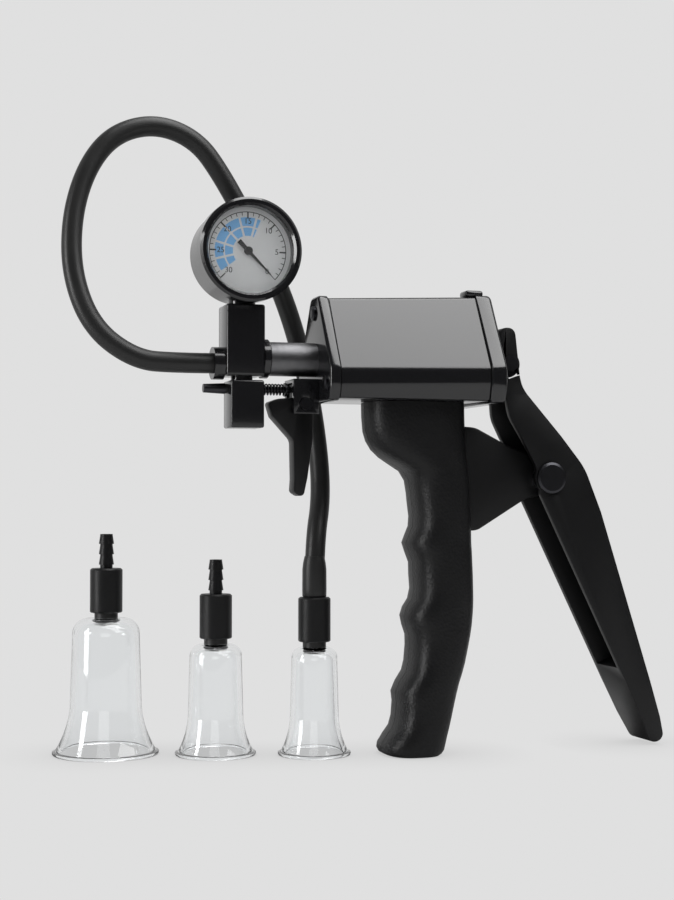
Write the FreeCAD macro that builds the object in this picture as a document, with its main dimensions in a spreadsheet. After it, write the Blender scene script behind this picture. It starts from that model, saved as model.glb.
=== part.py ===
import FreeCAD, Part
import math
import os
import re

import Sketcher
from FreeCAD import Placement, Rotation, Vector

# Hand vacuum pump: millimetres, +X from the hose end to the squeeze lever, +Z up.
# The origin is the centre of the grip's flat base, which stands on the floor.

os.makedirs("parts", exist_ok=True)
doc = FreeCAD.newDocument("HandVacuumPump")
sheet = doc.addObject("Spreadsheet::Sheet", "Sizes")
X_AXIS = Vector(1, 0, 0)
Y_AXIS = Vector(0, 1, 0)
Z_AXIS = Vector(0, 0, 1)
FUNCTIONS = ("sqrt", "sin", "cos", "tan")
row_count = 0
kept = []


def size(alias, number):
    """One driving dimension: a cell with an alias."""
    global row_count
    row_count += 1
    sheet.set("A%d" % row_count, alias)
    sheet.set("B%d" % row_count, str(number))
    sheet.setAlias("B%d" % row_count, alias)


def derived(alias, formula):
    """A dimension worked out from the driving ones."""
    global row_count
    row_count += 1
    sheet.set("A%d" % row_count, alias)
    sheet.set("B%d" % row_count, "=" + formula)
    sheet.setAlias("B%d" % row_count, alias)


def bound(formula):
    """The same formula with every alias read from the sheet."""
    def name(match):
        word = match.group(0)
        return word if word in FUNCTIONS else "Sizes." + word
    return re.sub(r"[a-z][a-z_]+", name, formula)


def value(formula):
    return float(sheet.evalExpression(bound(formula)))


# --- general fits -----------------------------------------------------------
size("fit", 0.02)
size("running_fit", 0.05)
size("seat_gap", 0.1)
size("side_gap", 0.3)

# --- cylinder ---------------------------------------------------------------
size("axis_height", 147.8)
size("barrel_front", -33.5)
size("barrel_length", 58.1)
size("bore_radius", 11.75)
size("liner_wall", 1.2)
size("ridge_half", 4.5)
size("ridge_wall", 10.1)
size("brow_wall", 7.55)
size("belly_side_wall", 5.65)
size("belly_wall", 2.25)
size("brow_drop", 4.7)
size("brow_height", 5.5)
size("ridge_climb", 2.45)
size("brow_climb", 1.6)
size("gasket_thickness", 0.5)
size("front_cap_thickness", 4.0)
size("rear_cap_thickness", 6.3)
size("cap_proud", 0.8)
size("lug_height", 2.7)
size("lug_reach", 3.0)
size("lug_setback", 2.6)
size("rod_radius", 3.0)
size("bush_wall", 2.0)
size("cap_screw_radius", 1.5)
size("cap_screw_head", 2.7)
size("cap_screw_head_height", 1.2)
size("cap_screw_length", 16.0)
size("low_screw_wall", 2.05)
size("low_screw_drop", 9.6)
size("top_screw_wall", 4.45)
size("foot_half", 3.0)
size("foot_height", 9.0)
size("foot_front", -10.0)
size("foot_length", 26.0)

# --- piston, lever and their linkage ---------------------------------------
size("piston_length", 8.0)
size("piston_clearance", 0.3)
size("piston_rest_gap", 1.6)
size("seal_width", 2.6)
size("seal_depth", 2.0)
size("spring_radius", 8.2)
size("spring_wire", 0.8)
size("spring_turns", 7)
size("rod_reach", 6.1)
size("rod_pin_radius", 2.0)
size("rod_eye_wall", 2.4)
size("pivot_setback", 15.8)
size("pivot_drop", 43.7)
size("pivot_pin_radius", 3.0)
size("pivot_boss_radius", 6.3)
size("lever_half", 11.0)
size("lever_top_half", 8.6)
size("lever_cheek", 2.5)
size("lever_spine", 3.0)
size("lever_rest_height", 1.2)
size("slot_play", 0.4)
size("arm_half", 5.5)

# --- grip ------------------------------------------------------------------
size("grip_half", 14.0)
size("grip_wall", 2.6)
size("grip_corner", 11.0)
size("grip_screw_radius", 1.5)
size("grip_screw_head", 2.8)

# --- nose: outlet tube, manifold, valve, trigger ------------------------------
size("tube_length", 20.6)
size("tube_radius", 6.3)
size("tube_bore", 3.0)
size("spigot_radius", 4.5)
size("spigot_length", 2.4)
size("tube_nut_radius", 7.3)
size("tube_nut_width", 2.6)
size("manifold_length", 14.4)
size("manifold_half", 7.0)
size("manifold_drop", 6.8)
size("manifold_height", 26.2)
size("valve_neck_radius", 4.0)
size("valve_neck_height", 1.5)
size("valve_body_length", 12.5)
size("valve_body_half", 6.25)
size("valve_body_height", 17.5)
size("stem_depth", 3.0)
size("stem_radius", 1.25)
size("stem_head_radius", 2.0)
size("stem_head_width", 8.0)
size("valve_seal_width", 1.0)
size("valve_spring_radius", 1.9)
size("valve_spring_wire", 0.3)
size("valve_spring_turns", 7)
size("trigger_half", 3.5)
size("trigger_pivot_setback", 5.0)
size("trigger_arm", 5.5)
size("trigger_pin_radius", 1.5)
size("bracket_length", 9.6)
size("bracket_half", 6.4)

# --- gauge -----------------------------------------------------------------
size("case_radius", 18.0)
size("gauge_lift", 1.15)
size("gauge_shift", 0.35)
size("case_wall", 1.8)
size("case_front", -11.0)
size("case_back", 10.0)
size("bezel_lip", 1.0)
size("bezel_front", -13.6)
size("bezel_grip", 4.0)
size("window_ledge", 2.0)
size("dial_plane", -7.0)
size("dial_thickness", 0.6)
size("needle_short", 4.0)
size("needle_tail", 5.0)
size("needle_thickness", 0.4)
size("needle_gap", 0.9)
size("pinion_radius", 0.9)
size("sector_drop", 8.5)
size("sector_gap", 0.15)
size("bourdon_inset", 6.4)
size("bourdon_tube", 1.3)
size("stem_socket_radius", 5.0)
size("stem_socket_depth", 6.9)

# --- hose and its fittings ----------------------------------------------------
size("port_drop", 2.1)
size("hose_radius", 3.75)
size("hose_end_radius", 4.6)
size("barb_radius", 2.85)
size("barb_bore", 1.5)
size("collar_radius", 6.0)
size("collar_width", 4.0)
size("port_barb_length", 9.0)

# --- cups --------------------------------------------------------------------
size("cup_wall", 1.6)
size("connector_radius", 6.1)
size("connector_height", 16.7)
size("washer_thickness", 2.0)
size("washer_radius", 4.4)
size("cup_barb_length", 12.9)
size("large_along", -109.9)
size("large_across", 33.6)
size("large_rim", 20.0)
size("large_body", 12.6)
size("large_height", 51.2)
size("medium_along", -70.8)
size("medium_across", 19.4)
size("medium_rim", 15.2)
size("medium_body", 9.8)
size("medium_height", 41.6)
size("small_along", -35.3)
size("small_across", 8.5)
size("small_rim", 13.7)
size("small_body", 8.6)
size("small_height", 40.4)

# --- places worked out from the sizes above ------------------------------------
derived("barrel_rear", "barrel_front + barrel_length")
derived("liner_radius", "bore_radius + liner_wall")
derived("casing_bore", "liner_radius + fit")
derived("ridge_rise", "liner_radius + ridge_wall")
derived("brow_half", "liner_radius + brow_wall")
derived("belly_half", "liner_radius + belly_side_wall")
derived("belly_drop", "liner_radius + belly_wall")
derived("low_screw_out", "liner_radius + low_screw_wall")
derived("top_screw_rise", "liner_radius + top_screw_wall")
derived("front_cap_rear", "barrel_front - gasket_thickness")
derived("front_cap_front", "front_cap_rear - front_cap_thickness")
derived("rear_cap_front", "barrel_rear + gasket_thickness")
derived("rear_cap_rear", "rear_cap_front + rear_cap_thickness")
derived("barrel_bottom", "axis_height - belly_drop")
derived("piston_front", "barrel_front + piston_rest_gap")
derived("piston_rear", "piston_front + piston_length")
derived("piston_radius", "bore_radius - piston_clearance")
derived("bush_radius", "rod_radius + running_fit + bush_wall")
derived("rod_pin_along", "rear_cap_rear + rod_reach")
derived("rod_eye_radius", "rod_pin_radius + rod_eye_wall")
derived("rod_eye_half", "rod_radius + 0.2")
derived("pivot_along", "rod_pin_along + pivot_setback")
derived("pivot_height", "axis_height - pivot_drop")
derived("manifold_rear", "front_cap_front - tube_length")
derived("manifold_front", "manifold_rear - manifold_length")
derived("manifold_middle", "manifold_rear - manifold_length / 2")
derived("manifold_bottom", "axis_height - manifold_drop")
derived("manifold_top", "manifold_bottom + manifold_height")
derived("valve_top", "manifold_bottom - valve_neck_height")
derived("valve_middle", "manifold_middle + 0.85")
derived("valve_front", "valve_middle - valve_body_length / 2")
derived("valve_rear", "valve_middle + valve_body_length / 2")
derived("stem_height", "valve_top - stem_depth")
derived("trigger_pivot_along", "front_cap_front - trigger_pivot_setback")
derived("trigger_pivot_height", "stem_height - trigger_arm")
derived("stem_rear", "trigger_pivot_along - 3.9 - side_gap")
derived("stem_reach", "stem_rear - valve_rear")
derived("gauge_along", "manifold_middle + gauge_shift")
derived("gauge_height", "manifold_top + case_radius + gauge_lift")
derived("bezel_radius", "case_radius + bezel_lip")
derived("window_radius", "case_radius - window_ledge")
derived("needle_length", "window_radius - needle_short")
derived("bourdon_radius", "case_radius - bourdon_inset")
derived("lens_front", "bezel_front + 1.0")
derived("port_height", "axis_height - port_drop")
derived("barb_fit_radius", "barb_radius + running_fit")
doc.recompute()


# --- helpers -------------------------------------------------------------------
def sized(item, target, formula):
    item.setExpression(target, bound(formula))


def place(item, x=None, y=None, z=None):
    """Bind an object's position to the sheet."""
    for axis, formula in (("x", x), ("y", y), ("z", z)):
        if formula is not None:
            sized(item, "Placement.Base." + axis, formula)


def keep(item, label):
    item.Label = label
    kept.append(item)
    return item


def new_body(name):
    return doc.addObject("PartDesign::Body", name)


def new_sketch(body, role):
    plane = [part for part in body.Origin.OriginFeatures if part.Role == role][0]
    sketch = body.newObject("Sketcher::SketchObject", body.Name + "Sketch")
    sketch.AttachmentSupport = (plane, [""])
    sketch.MapMode = "FlatFace"
    return sketch


def pin_point(sketch, edge, end, point):
    """Hold one point of an edge at its two formulas."""
    for kind, formula in zip(("DistanceX", "DistanceY"), point):
        held = Sketcher.Constraint(kind, -1, 1, edge, end, value(formula))
        index = sketch.addConstraint(held)
        sized(sketch, "Constraints[%d]" % index, formula)


def add_loop(sketch, points):
    """A closed outline through points given as pairs of formulas."""
    first = sketch.GeometryCount
    count = len(points)
    places = [Vector(value(u), value(v), 0) for u, v in points]
    for index in range(count):
        sketch.addGeometry(Part.LineSegment(places[index], places[(index + 1) % count]), False)
    for index in range(count):
        following = first + (index + 1) % count
        sketch.addConstraint(Sketcher.Constraint("Coincident", first + index, 2, following, 1))
        pin_point(sketch, first + index, 1, points[index])


def add_circle(sketch, radius, u="0", v="0"):
    centre = Vector(value(u), value(v), 0)
    index = sketch.addGeometry(Part.Circle(centre, Z_AXIS, value(radius)), False)
    held = sketch.addConstraint(Sketcher.Constraint("Radius", index, value(radius)))
    sized(sketch, "Constraints[%d]" % held, radius)
    pin_point(sketch, index, 3, (u, v))


def pad(body, sketch, length, symmetric=False):
    feature = body.newObject("PartDesign::Pad", body.Name + "Pad")
    feature.Profile = (sketch, [""])
    if symmetric:
        feature.SideType = "Symmetric"
    sized(feature, "Length", length)
    return feature


def turned(name, along, points):
    """A body turned about the X, Y or Z axis: points are (along, radius)."""
    role = {"x": "XZ_Plane", "y": "YZ_Plane", "z": "XZ_Plane"}[along]
    body = new_body(name)
    sketch = new_sketch(body, role)
    add_loop(sketch, [(r, a) for a, r in points] if along == "z" else points)
    turn = body.newObject("PartDesign::Revolution", name + "Turn")
    turn.Profile = (sketch, [""])
    turn.ReferenceAxis = (sketch, ["V_Axis" if along == "z" else "H_Axis"])
    return body


def side_plate(name, points, half, holes=()):
    """A body with its outline in the XZ plane, as thick each way as half."""
    body = new_body(name)
    sketch = new_sketch(body, "XZ_Plane")
    add_loop(sketch, points)
    for radius, u, v in holes:
        add_circle(sketch, radius, u, v)
    pad(body, sketch, "2 * (%s)" % half, symmetric=True)
    return body


def soften(body, radius, corners):
    """Round the edges that run along Y through the given corners."""
    doc.recompute()
    base = body.Tip
    wanted = [(value(u), value(v)) for u, v in corners]
    names = []
    for index, edge in enumerate(base.Shape.Edges):
        ends = edge.Vertexes
        if len(ends) != 2 or abs(ends[0].Y - ends[1].Y) < 1:
            continue
        if any(math.hypot(ends[0].X - u, ends[0].Z - v) < 0.01 for u, v in wanted):
            names.append("Edge%d" % (index + 1))
    rounding = body.newObject("PartDesign::Fillet", body.Name + "Fillet")
    rounding.Base = (base, names)
    sized(rounding, "Radius", radius)
    doc.recompute()
    return rounding


def box(name, x, y, z, length, width, height):
    block = doc.addObject("Part::Box", name)
    sized(block, "Length", length)
    sized(block, "Width", width)
    sized(block, "Height", height)
    place(block, x, y, z)
    return block


def rod(name, along, radius, length, x="0", y="0", z="0"):
    """A plain cylinder from a start point along X, Y or Z."""
    cylinder = doc.addObject("Part::Cylinder", name)
    sized(cylinder, "Radius", radius)
    sized(cylinder, "Height", length)
    turn = {"x": Rotation(Y_AXIS, 90), "y": Rotation(X_AXIS, -90), "z": Rotation()}[along]
    cylinder.Placement = Placement(Vector(), turn)
    place(cylinder, x, y, z)
    return cylinder


def joined(kind, name, first, second):
    result = doc.addObject("Part::" + kind, name)
    result.Base = first
    result.Tool = second
    return result


def cut(name, blank, *tools):
    for index, tool in enumerate(tools):
        blank = joined("Cut", "%s%d" % (name, index), blank, tool)
    return blank


def fuse(name, blank, *others):
    for index, other in enumerate(others):
        blank = joined("Fuse", "%s%d" % (name, index), blank, other)
    return blank


def group(label, items):
    compound = doc.addObject("Part::Compound", label)
    compound.Links = items
    return keep(compound, label)


def house(grow, climb):
    """Section of the cylinder casing: a narrow ridge, two slopes and a flat belly.

    The casting tapers towards the nose: climb is 0 there and 1 at the rear, where it stands highest.
    """
    half = [
        ("ridge_half", "ridge_rise + ridge_climb * %s + %s" % (climb, grow)),
        ("brow_half + " + grow, "-brow_drop + brow_climb * %s + %s / 2" % (climb, grow)),
        ("brow_half + " + grow, "-brow_drop - brow_height + brow_climb * " + climb),
        ("belly_half + " + grow, "-belly_drop - " + grow),
    ]
    mirrored = [("-(%s)" % u, v) for u, v in reversed(half)]
    return half + mirrored


CAP_SCREWS = [("low_screw_out", "-low_screw_drop"), ("-low_screw_out", "-low_screw_drop"), ("0", "top_screw_rise")]


def casing_plate(name, grow, climb, length, holes, screw_hole):
    """A plate with the casing's section, its screw holes and other holes."""
    body = new_body(name)
    sketch = new_sketch(body, "YZ_Plane")
    add_loop(sketch, house(grow, climb))
    for radius in holes:
        add_circle(sketch, radius)
    for u, v in CAP_SCREWS:
        add_circle(sketch, screw_hole, u, v)
    pad(body, sketch, length)
    return body


# --- cylinder casing -----------------------------------------------------------
barrel_body = new_body("BarrelCasing")
barrel_nose = new_sketch(barrel_body, "YZ_Plane")
add_loop(barrel_nose, house("0", "0"))
barrel_tail = new_sketch(barrel_body, "YZ_Plane")
sized(barrel_tail, "AttachmentOffset.Base.z", "barrel_length")
add_loop(barrel_tail, house("0", "1"))
barrel_loft = barrel_body.newObject("PartDesign::AdditiveLoft", "BarrelLoft")
barrel_loft.Profile = barrel_nose
barrel_loft.Sections = [barrel_tail]
barrel_loft.Ruled = True
place(barrel_body, "barrel_front", "0", "axis_height")
barrel_holes = [rod("CasingBore", "x", "casing_bore", "barrel_length", "barrel_front", "0", "axis_height")]
for index, (u, v) in enumerate(CAP_SCREWS):
    barrel_holes.append(rod("CasingScrewHole%d" % index, "x", "cap_screw_radius + fit", "barrel_length",
                            "barrel_front", u, "axis_height + " + v))
foot = box("BarrelFoot", "foot_front", "-foot_half", "barrel_bottom - foot_height",
           "foot_length", "2 * foot_half", "foot_height + 0.6")
foot_hole = rod("FootHole", "y", "grip_screw_radius + fit", "2 * grip_half",
                "foot_front + foot_length / 2", "-grip_half", "barrel_bottom - foot_height / 2")
barrel = keep(cut("BarrelDrilled", fuse("BarrelWithFoot", barrel_body, foot), foot_hole, *barrel_holes), "barrel")

liner = turned("Liner", "x", [
    ("0", "bore_radius"), ("barrel_length", "bore_radius"),
    ("barrel_length", "liner_radius"), ("0", "liner_radius")])
place(liner, "barrel_front", "0", "axis_height")
keep(liner, "cylinder_liner")

for label, start, climb in (("front_gasket", "front_cap_rear", "0"), ("rear_gasket", "barrel_rear", "1")):
    gasket = casing_plate(label.title().replace("_", ""), "-0.6", climb, "gasket_thickness",
                          ["bore_radius"], "cap_screw_radius + fit")
    place(gasket, start, "0", "axis_height")
    keep(gasket, label)

front_plate = casing_plate("FrontPlate", "cap_proud", "0", "front_cap_thickness",
                           ["1 + fit"], "cap_screw_radius + fit")
place(front_plate, "front_cap_front", "0", "axis_height")
tube_socket = rod("TubeSocket", "x", "spigot_radius + fit", "spigot_length + fit",
                  "front_cap_front", "0", "axis_height")
inlet_ports = []
for index in range(4):
    turn = "%d" % (45 + 90 * index)
    inlet_ports.append(rod("InletPort%d" % index, "x", "0.8", "front_cap_thickness", "front_cap_front",
                           "2.6 * cos(%s)" % turn, "axis_height + 2.6 * sin(%s)" % turn))
keep(cut("FrontCapDrilled", front_plate, tube_socket, *inlet_ports), "front_cap")

rear_plate = casing_plate("RearPlate", "cap_proud", "1", "rear_cap_thickness", ["bush_radius + fit"],
                          "cap_screw_radius + fit")
place(rear_plate, "rear_cap_front", "0", "axis_height")
lug_front = "-gasket_thickness - lug_reach"
lug_rear = "rear_cap_thickness - lug_setback"
lug = side_plate("RearCapLug", [
    (lug_front, "seat_gap"), (lug_rear, "seat_gap"), (lug_rear, "lug_height"), (lug_front, "lug_height")], "ridge_half - 0.8")
soften(lug, "1.2", [(lug_front, "lug_height"), (lug_rear, "lug_height")])
place(lug, "rear_cap_front", "0", "axis_height + ridge_rise + ridge_climb")
keep(fuse("RearCapWhole", rear_plate, lug), "rear_cap")

bush = turned("RodBush", "x", [
    ("0", "rod_radius + running_fit"), ("rear_cap_thickness + 1.2", "rod_radius + running_fit"),
    ("rear_cap_thickness + 1.2", "bush_radius + 1.6"), ("rear_cap_thickness", "bush_radius + 1.6"),
    ("rear_cap_thickness", "bush_radius"), ("0", "bush_radius")])
place(bush, "rear_cap_front", "0", "axis_height")
keep(bush, "rod_bush")


def cap_screws(label, face, facing):
    """Three pan-head screws through a cap into the casing; facing is -1 at the front."""
    screws = []
    out = "%d * " % facing
    for index, (u, v) in enumerate(CAP_SCREWS):
        body = turned("%s%d" % (label.title().replace("_", ""), index), "x", [
            (out + "cap_screw_head_height", "0"), ("-1 * %scap_screw_length" % out, "0"),
            ("-1 * %scap_screw_length" % out, "cap_screw_radius"), ("0", "cap_screw_radius"),
            ("0", "cap_screw_head"), (out + "cap_screw_head_height * 0.6", "cap_screw_head"),
            (out + "cap_screw_head_height", "cap_screw_head * 0.6")])
        place(body, face, u, "axis_height + " + v)
        screws.append(body)
    group(label, screws)


cap_screws("front_cap_screws", "front_cap_front", -1)
cap_screws("rear_cap_screws", "rear_cap_rear", 1)

inlet_valve = turned("InletValve", "x", [
    ("-(front_cap_thickness - spigot_length) + 0.1", "0"), ("0.7", "0"), ("0.4", "4.2"), ("0", "4.2"),
    ("0", "1"), ("-(front_cap_thickness - spigot_length) + 0.1", "1")])
place(inlet_valve, "front_cap_rear", "0", "axis_height")
keep(inlet_valve, "inlet_valve")

# --- piston group ----------------------------------------------------------------
piston = turned("Piston", "x", [
    ("0", "rod_radius - 1 + fit"), ("0", "piston_radius"), ("seal_width * 0.7", "piston_radius"),
    ("seal_width * 0.7", "piston_radius - seal_depth"),
    ("seal_width * 1.7 + 2 * fit", "piston_radius - seal_depth"), ("seal_width * 1.7 + 2 * fit", "piston_radius"),
    ("piston_length", "piston_radius"), ("piston_length", "rod_radius + fit"),
    ("piston_length - 3", "rod_radius + fit"), ("piston_length - 3", "rod_radius - 1 + fit")])
place(piston, "piston_front", "0", "axis_height")
keep(piston, "piston")

seal = turned("PistonSeal", "x", [
    ("fit", "piston_radius - seal_depth + fit"), ("seal_width + fit", "piston_radius - seal_depth + fit"),
    ("seal_width + fit", "bore_radius - running_fit"), ("fit", "bore_radius - running_fit")])
place(seal, "piston_front + seal_width * 0.7", "0", "axis_height")
keep(seal, "piston_seal")

rod_shaft = turned("RodShaft", "x", [
    ("-1.1", "0"), ("-1.1", "rod_radius - 1"), ("piston_length - 3", "rod_radius - 1"),
    ("piston_length - 3", "rod_radius"), ("rod_pin_along - piston_front - 3", "rod_radius"),
    ("rod_pin_along - piston_front - 3", "0")])
place(rod_shaft, "piston_front", "0", "axis_height")
rod_eye = rod("RodEye", "y", "rod_eye_radius", "2 * rod_eye_half", "rod_pin_along", "-rod_eye_half", "axis_height")
rod_eye_hole = rod("RodEyeHole", "y", "rod_pin_radius + fit", "4 * rod_eye_half",
                   "rod_pin_along", "-2 * rod_eye_half", "axis_height")
keep(cut("RodDrilled", fuse("RodWithEye", rod_shaft, rod_eye), rod_eye_hole), "piston_rod")

piston_nut = turned("PistonNut", "x", [
    ("-1.2", "rod_radius - 1 + fit"), ("0", "rod_radius - 1 + fit"), ("0", "4"), ("-1.2", "4")])
place(piston_nut, "piston_front", "0", "axis_height")
keep(piston_nut, "piston_nut")

piston_flap = turned("PistonFlap", "x", [
    ("0", "rod_radius + fit"), ("0.6", "rod_radius + fit"), ("0.6", "6.4"), ("0", "6.4")])
place(piston_flap, "piston_rear", "0", "axis_height")
keep(piston_flap, "piston_flap")


def coil_spring(label, radius, wire, turns, length, start, height):
    """A round-wire compression spring along X between two faces."""
    reach = length - 2 * wire
    helix = Part.makeHelix(reach / turns, reach, radius)
    section = Part.Wire(Part.makeCircle(wire, Vector(radius, 0, 0), Y_AXIS))
    coil = Part.Wire(helix.Edges).makePipeShell([section], True, True)
    spring = doc.addObject("Part::Feature", label.title().replace("_", ""))
    spring.Shape = coil
    spring.Placement = Placement(Vector(start + wire, 0, height), Rotation(Y_AXIS, 90))
    return keep(spring, label)


coil_spring("return_spring", value("spring_radius"), value("spring_wire"), value("spring_turns"),
            value("barrel_rear - piston_rear - 2 * seat_gap"), value("piston_rear + seat_gap"),
            value("axis_height"))

rod_pin = turned("RodPin", "y", [
    ("-(lever_top_half + side_gap + 0.9)", "0"), ("lever_top_half + side_gap + 0.9", "0"),
    ("lever_top_half + side_gap + 0.9", "rod_pin_radius + 1"), ("lever_top_half + side_gap", "rod_pin_radius + 1"),
    ("lever_top_half + side_gap", "rod_pin_radius"), ("-(lever_top_half + side_gap)", "rod_pin_radius"),
    ("-(lever_top_half + side_gap)", "rod_pin_radius + 1"), ("-(lever_top_half + side_gap + 0.9)", "rod_pin_radius + 1")])
place(rod_pin, "rod_pin_along", "0", "axis_height")
keep(rod_pin, "rod_pin")

# --- squeeze lever: a channel, open towards the grip, with a fork at the top --------
LEVER_TOP = "axis_height + 13.7"
FRONT_LOW = ("pivot_along + 43.3", "lever_rest_height")
REAR_LOW = ("pivot_along + 49.6", "lever_rest_height")
FRONT_HIGH = ("rod_pin_along - 4.5", LEVER_TOP)
REAR_HIGH = ("rod_pin_along + 2.1", LEVER_TOP)
FRONT_NECK = ("rod_pin_along - 0.7", "axis_height - 20.3")
REAR_NECK = ("rod_pin_along + 4.5", "axis_height - 8.3")
REAR_SHOULDER = ("pivot_along + 14.4", "pivot_height + 3.9")
REAR_ELBOW = ("pivot_along + 21.2", "pivot_height - 13.1")
lever_side = side_plate("LeverSide", [
    FRONT_HIGH, REAR_HIGH, REAR_NECK, REAR_SHOULDER, REAR_ELBOW, REAR_LOW, FRONT_LOW,
    ("pivot_along - 4.2", "pivot_height - 6.2"), ("pivot_along - 6.2", "pivot_height + 4.9"), FRONT_NECK],
    "lever_half")
soften(lever_side, "2.9", [FRONT_HIGH, REAR_HIGH, FRONT_LOW, REAR_LOW])
soften(lever_side, "14", [REAR_NECK, FRONT_NECK])
soften(lever_side, "26", [REAR_SHOULDER, REAR_ELBOW])
lever_boss = rod("LeverBoss", "y", "pivot_boss_radius", "2 * lever_half", "pivot_along", "-lever_half", "pivot_height")


def front_outline(name, inset, low, high):
    """Width of the lever seen along X: full at the middle, narrower at top and tip."""
    half = [
        ("lever_half - 3.5 - " + inset, low), ("lever_half - 0.6 - " + inset, "lever_rest_height + 10"),
        ("lever_half - " + inset, "lever_rest_height + 24"), ("lever_half - " + inset, "pivot_height + 15.9"),
        ("lever_top_half - " + inset, "pivot_height + 31.9"), ("lever_top_half - " + inset, high)]
    body = new_body(name)
    sketch = new_sketch(body, "YZ_Plane")
    add_loop(sketch, half + [("-(%s)" % u, v) for u, v in reversed(half)])
    pad(body, sketch, "2 * (pivot_along + 51)")
    return body


lever_blank = joined("Common", "LeverBlank", fuse("LeverOuter", lever_side, lever_boss),
                     front_outline("LeverFront", "0", "-1", "axis_height + 20"))
channel_side = side_plate("ChannelSide", [
    ("rod_pin_along - 9.5", "axis_height + 9.7"), ("rod_pin_along + 12.5", "axis_height + 9.7"),
    ("rod_pin_along + 12.5", "axis_height - 9.2"), ("rod_pin_along + 4.5 - lever_spine", "axis_height - 9.2"),
    ("pivot_along + 14.4 - lever_spine", "pivot_height + 2.9"),
    ("pivot_along + 21.2 - lever_spine", "pivot_height - 14.1"),
    ("pivot_along + 36.5", "lever_rest_height + 33"),
    ("pivot_along + 24", "lever_rest_height + 27"), ("rod_pin_along - 9.5", "pivot_height - 4")], "lever_half")
channel = joined("Common", "Channel", channel_side,
                 front_outline("ChannelFront", "lever_cheek", "0", "axis_height + 18"))
pivot_hole = rod("LeverPivotHole", "y", "pivot_pin_radius + running_fit", "4 * lever_half",
                 "pivot_along", "-2 * lever_half", "pivot_height")

# The rod pin moves straight while the lever swings, so the fork has a slot along its radius.
pin_reach = value("sqrt((rod_pin_along - pivot_along)^2 + (axis_height - pivot_height)^2)")
pin_lean = math.degrees(math.atan2(value("pivot_along - rod_pin_along"), value("axis_height - pivot_height")))
slot_half = value("rod_pin_radius + slot_play")
slot_low = value("axis_height - pivot_height") - slot_half - value("slot_play")
slot_high = pin_reach + slot_half
slot = doc.addObject("Part::Feature", "PinSlot")
slot.Shape = Part.makeBox(2 * slot_half, value("4 * lever_half"), slot_high - slot_low,
                          Vector(-slot_half, -value("2 * lever_half"), slot_low))
slot.Placement = Placement(Vector(value("pivot_along"), 0, value("pivot_height")), Rotation(Y_AXIS, -pin_lean))
keep(cut("LeverCut", lever_blank, channel, pivot_hole, slot), "lever")

pivot_pin = turned("PivotPin", "y", [
    ("-(lever_half + side_gap + 1.4)", "0"), ("lever_half + side_gap + 1.4", "0"),
    ("lever_half + side_gap + 1.4", "pivot_boss_radius - 1.3"), ("lever_half + side_gap + 0.9", "pivot_boss_radius - 0.4"),
    ("lever_half + side_gap", "pivot_boss_radius - 0.4"), ("lever_half + side_gap", "pivot_pin_radius"),
    ("-(lever_half + side_gap)", "pivot_pin_radius"), ("-(lever_half + side_gap)", "pivot_boss_radius - 0.4"),
    ("-(lever_half + side_gap + 0.9)", "pivot_boss_radius - 0.4"),
    ("-(lever_half + side_gap + 1.4)", "pivot_boss_radius - 1.3")])
place(pivot_pin, "pivot_along", "0", "pivot_height")
keep(pivot_pin, "lever_pivot_pin")

washer_width = "lever_half - lever_cheek - arm_half - side_gap"
washers = []
for index, start in enumerate(("arm_half", "-(arm_half + %s)" % washer_width)):
    ring = turned("PivotWasher%d" % index, "y", [
        ("0", "pivot_pin_radius + fit"), (washer_width, "pivot_pin_radius + fit"),
        (washer_width, "pivot_boss_radius - 1"), ("0", "pivot_boss_radius - 1")])
    place(ring, "pivot_along", start, "pivot_height")
    washers.append(ring)
group("pivot_washers", washers)

# --- grip: two hollow shells with the arm that carries the lever --------------------
# Stations from the base up: height, front edge, rear edge.
GRIP_STATIONS = [
    (0.0, -11.2, 10.6), (1.6, -12.0, 11.5), (4.1, -11.7, 12.1), (7.2, -9.6, 12.8), (10.2, -7.2, 13.5),
    (14.0, -6.1, 14.4), (19.4, -5.7, 15.7), (23.2, -6.2, 16.7), (27.0, -4.5, 17.7), (30.8, -1.9, 18.9),
    (34.6, -0.9, 20.0), (40.7, -0.4, 21.4), (44.5, -0.5, 22.2), (48.3, -1.9, 22.9), (51.8, -2.7, 23.3),
    (55.0, -1.6, 23.5), (58.2, 0.6, 23.5), (62.1, 1.5, 23.4), (67.4, 1.1, 23.3), (72.0, 1.0, 23.1),
    (76.0, -0.6, 23.0), (79.4, -1.8, 22.8), (82.6, -0.5, 22.7), (85.7, 0.9, 22.6), (89.5, 1.2, 22.5),
    (94.0, 0.6, 22.3), (98.6, 0.1, 22.1), (103.2, -0.7, 21.8), (106.7, -3.0, 21.6), (109.2, -7.2, 21.4),
    (111.8, -11.4, 21.2), (114.7, -14.6, 21.1), (118.0, -16.7, 20.9), (121.5, -17.8, 20.7)]


def grip_section(height, front, rear, half, corner):
    """Half of one level section, on the side of -Y, closed on the parting plane."""
    start = Vector(front, 0, height)
    front_side = Vector(front, -(half - corner), height)
    front_mid = Vector(front + corner * (1 - math.sqrt(0.5)), -(half - corner * (1 - math.sqrt(0.5))), height)
    front_end = Vector(front + corner, -half, height)
    rear_start = Vector(rear - corner, -half, height)
    rear_mid = Vector(rear - corner * (1 - math.sqrt(0.5)), front_mid.y, height)
    rear_side = Vector(rear, -(half - corner), height)
    finish = Vector(rear, 0, height)
    edges = [
        Part.LineSegment(start, front_side).toShape(), Part.Arc(front_side, front_mid, front_end).toShape(),
        Part.LineSegment(front_end, rear_start).toShape(), Part.Arc(rear_start, rear_mid, rear_side).toShape(),
        Part.LineSegment(rear_side, finish).toShape(), Part.LineSegment(finish, start).toShape()]
    return Part.Wire(edges)


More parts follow.
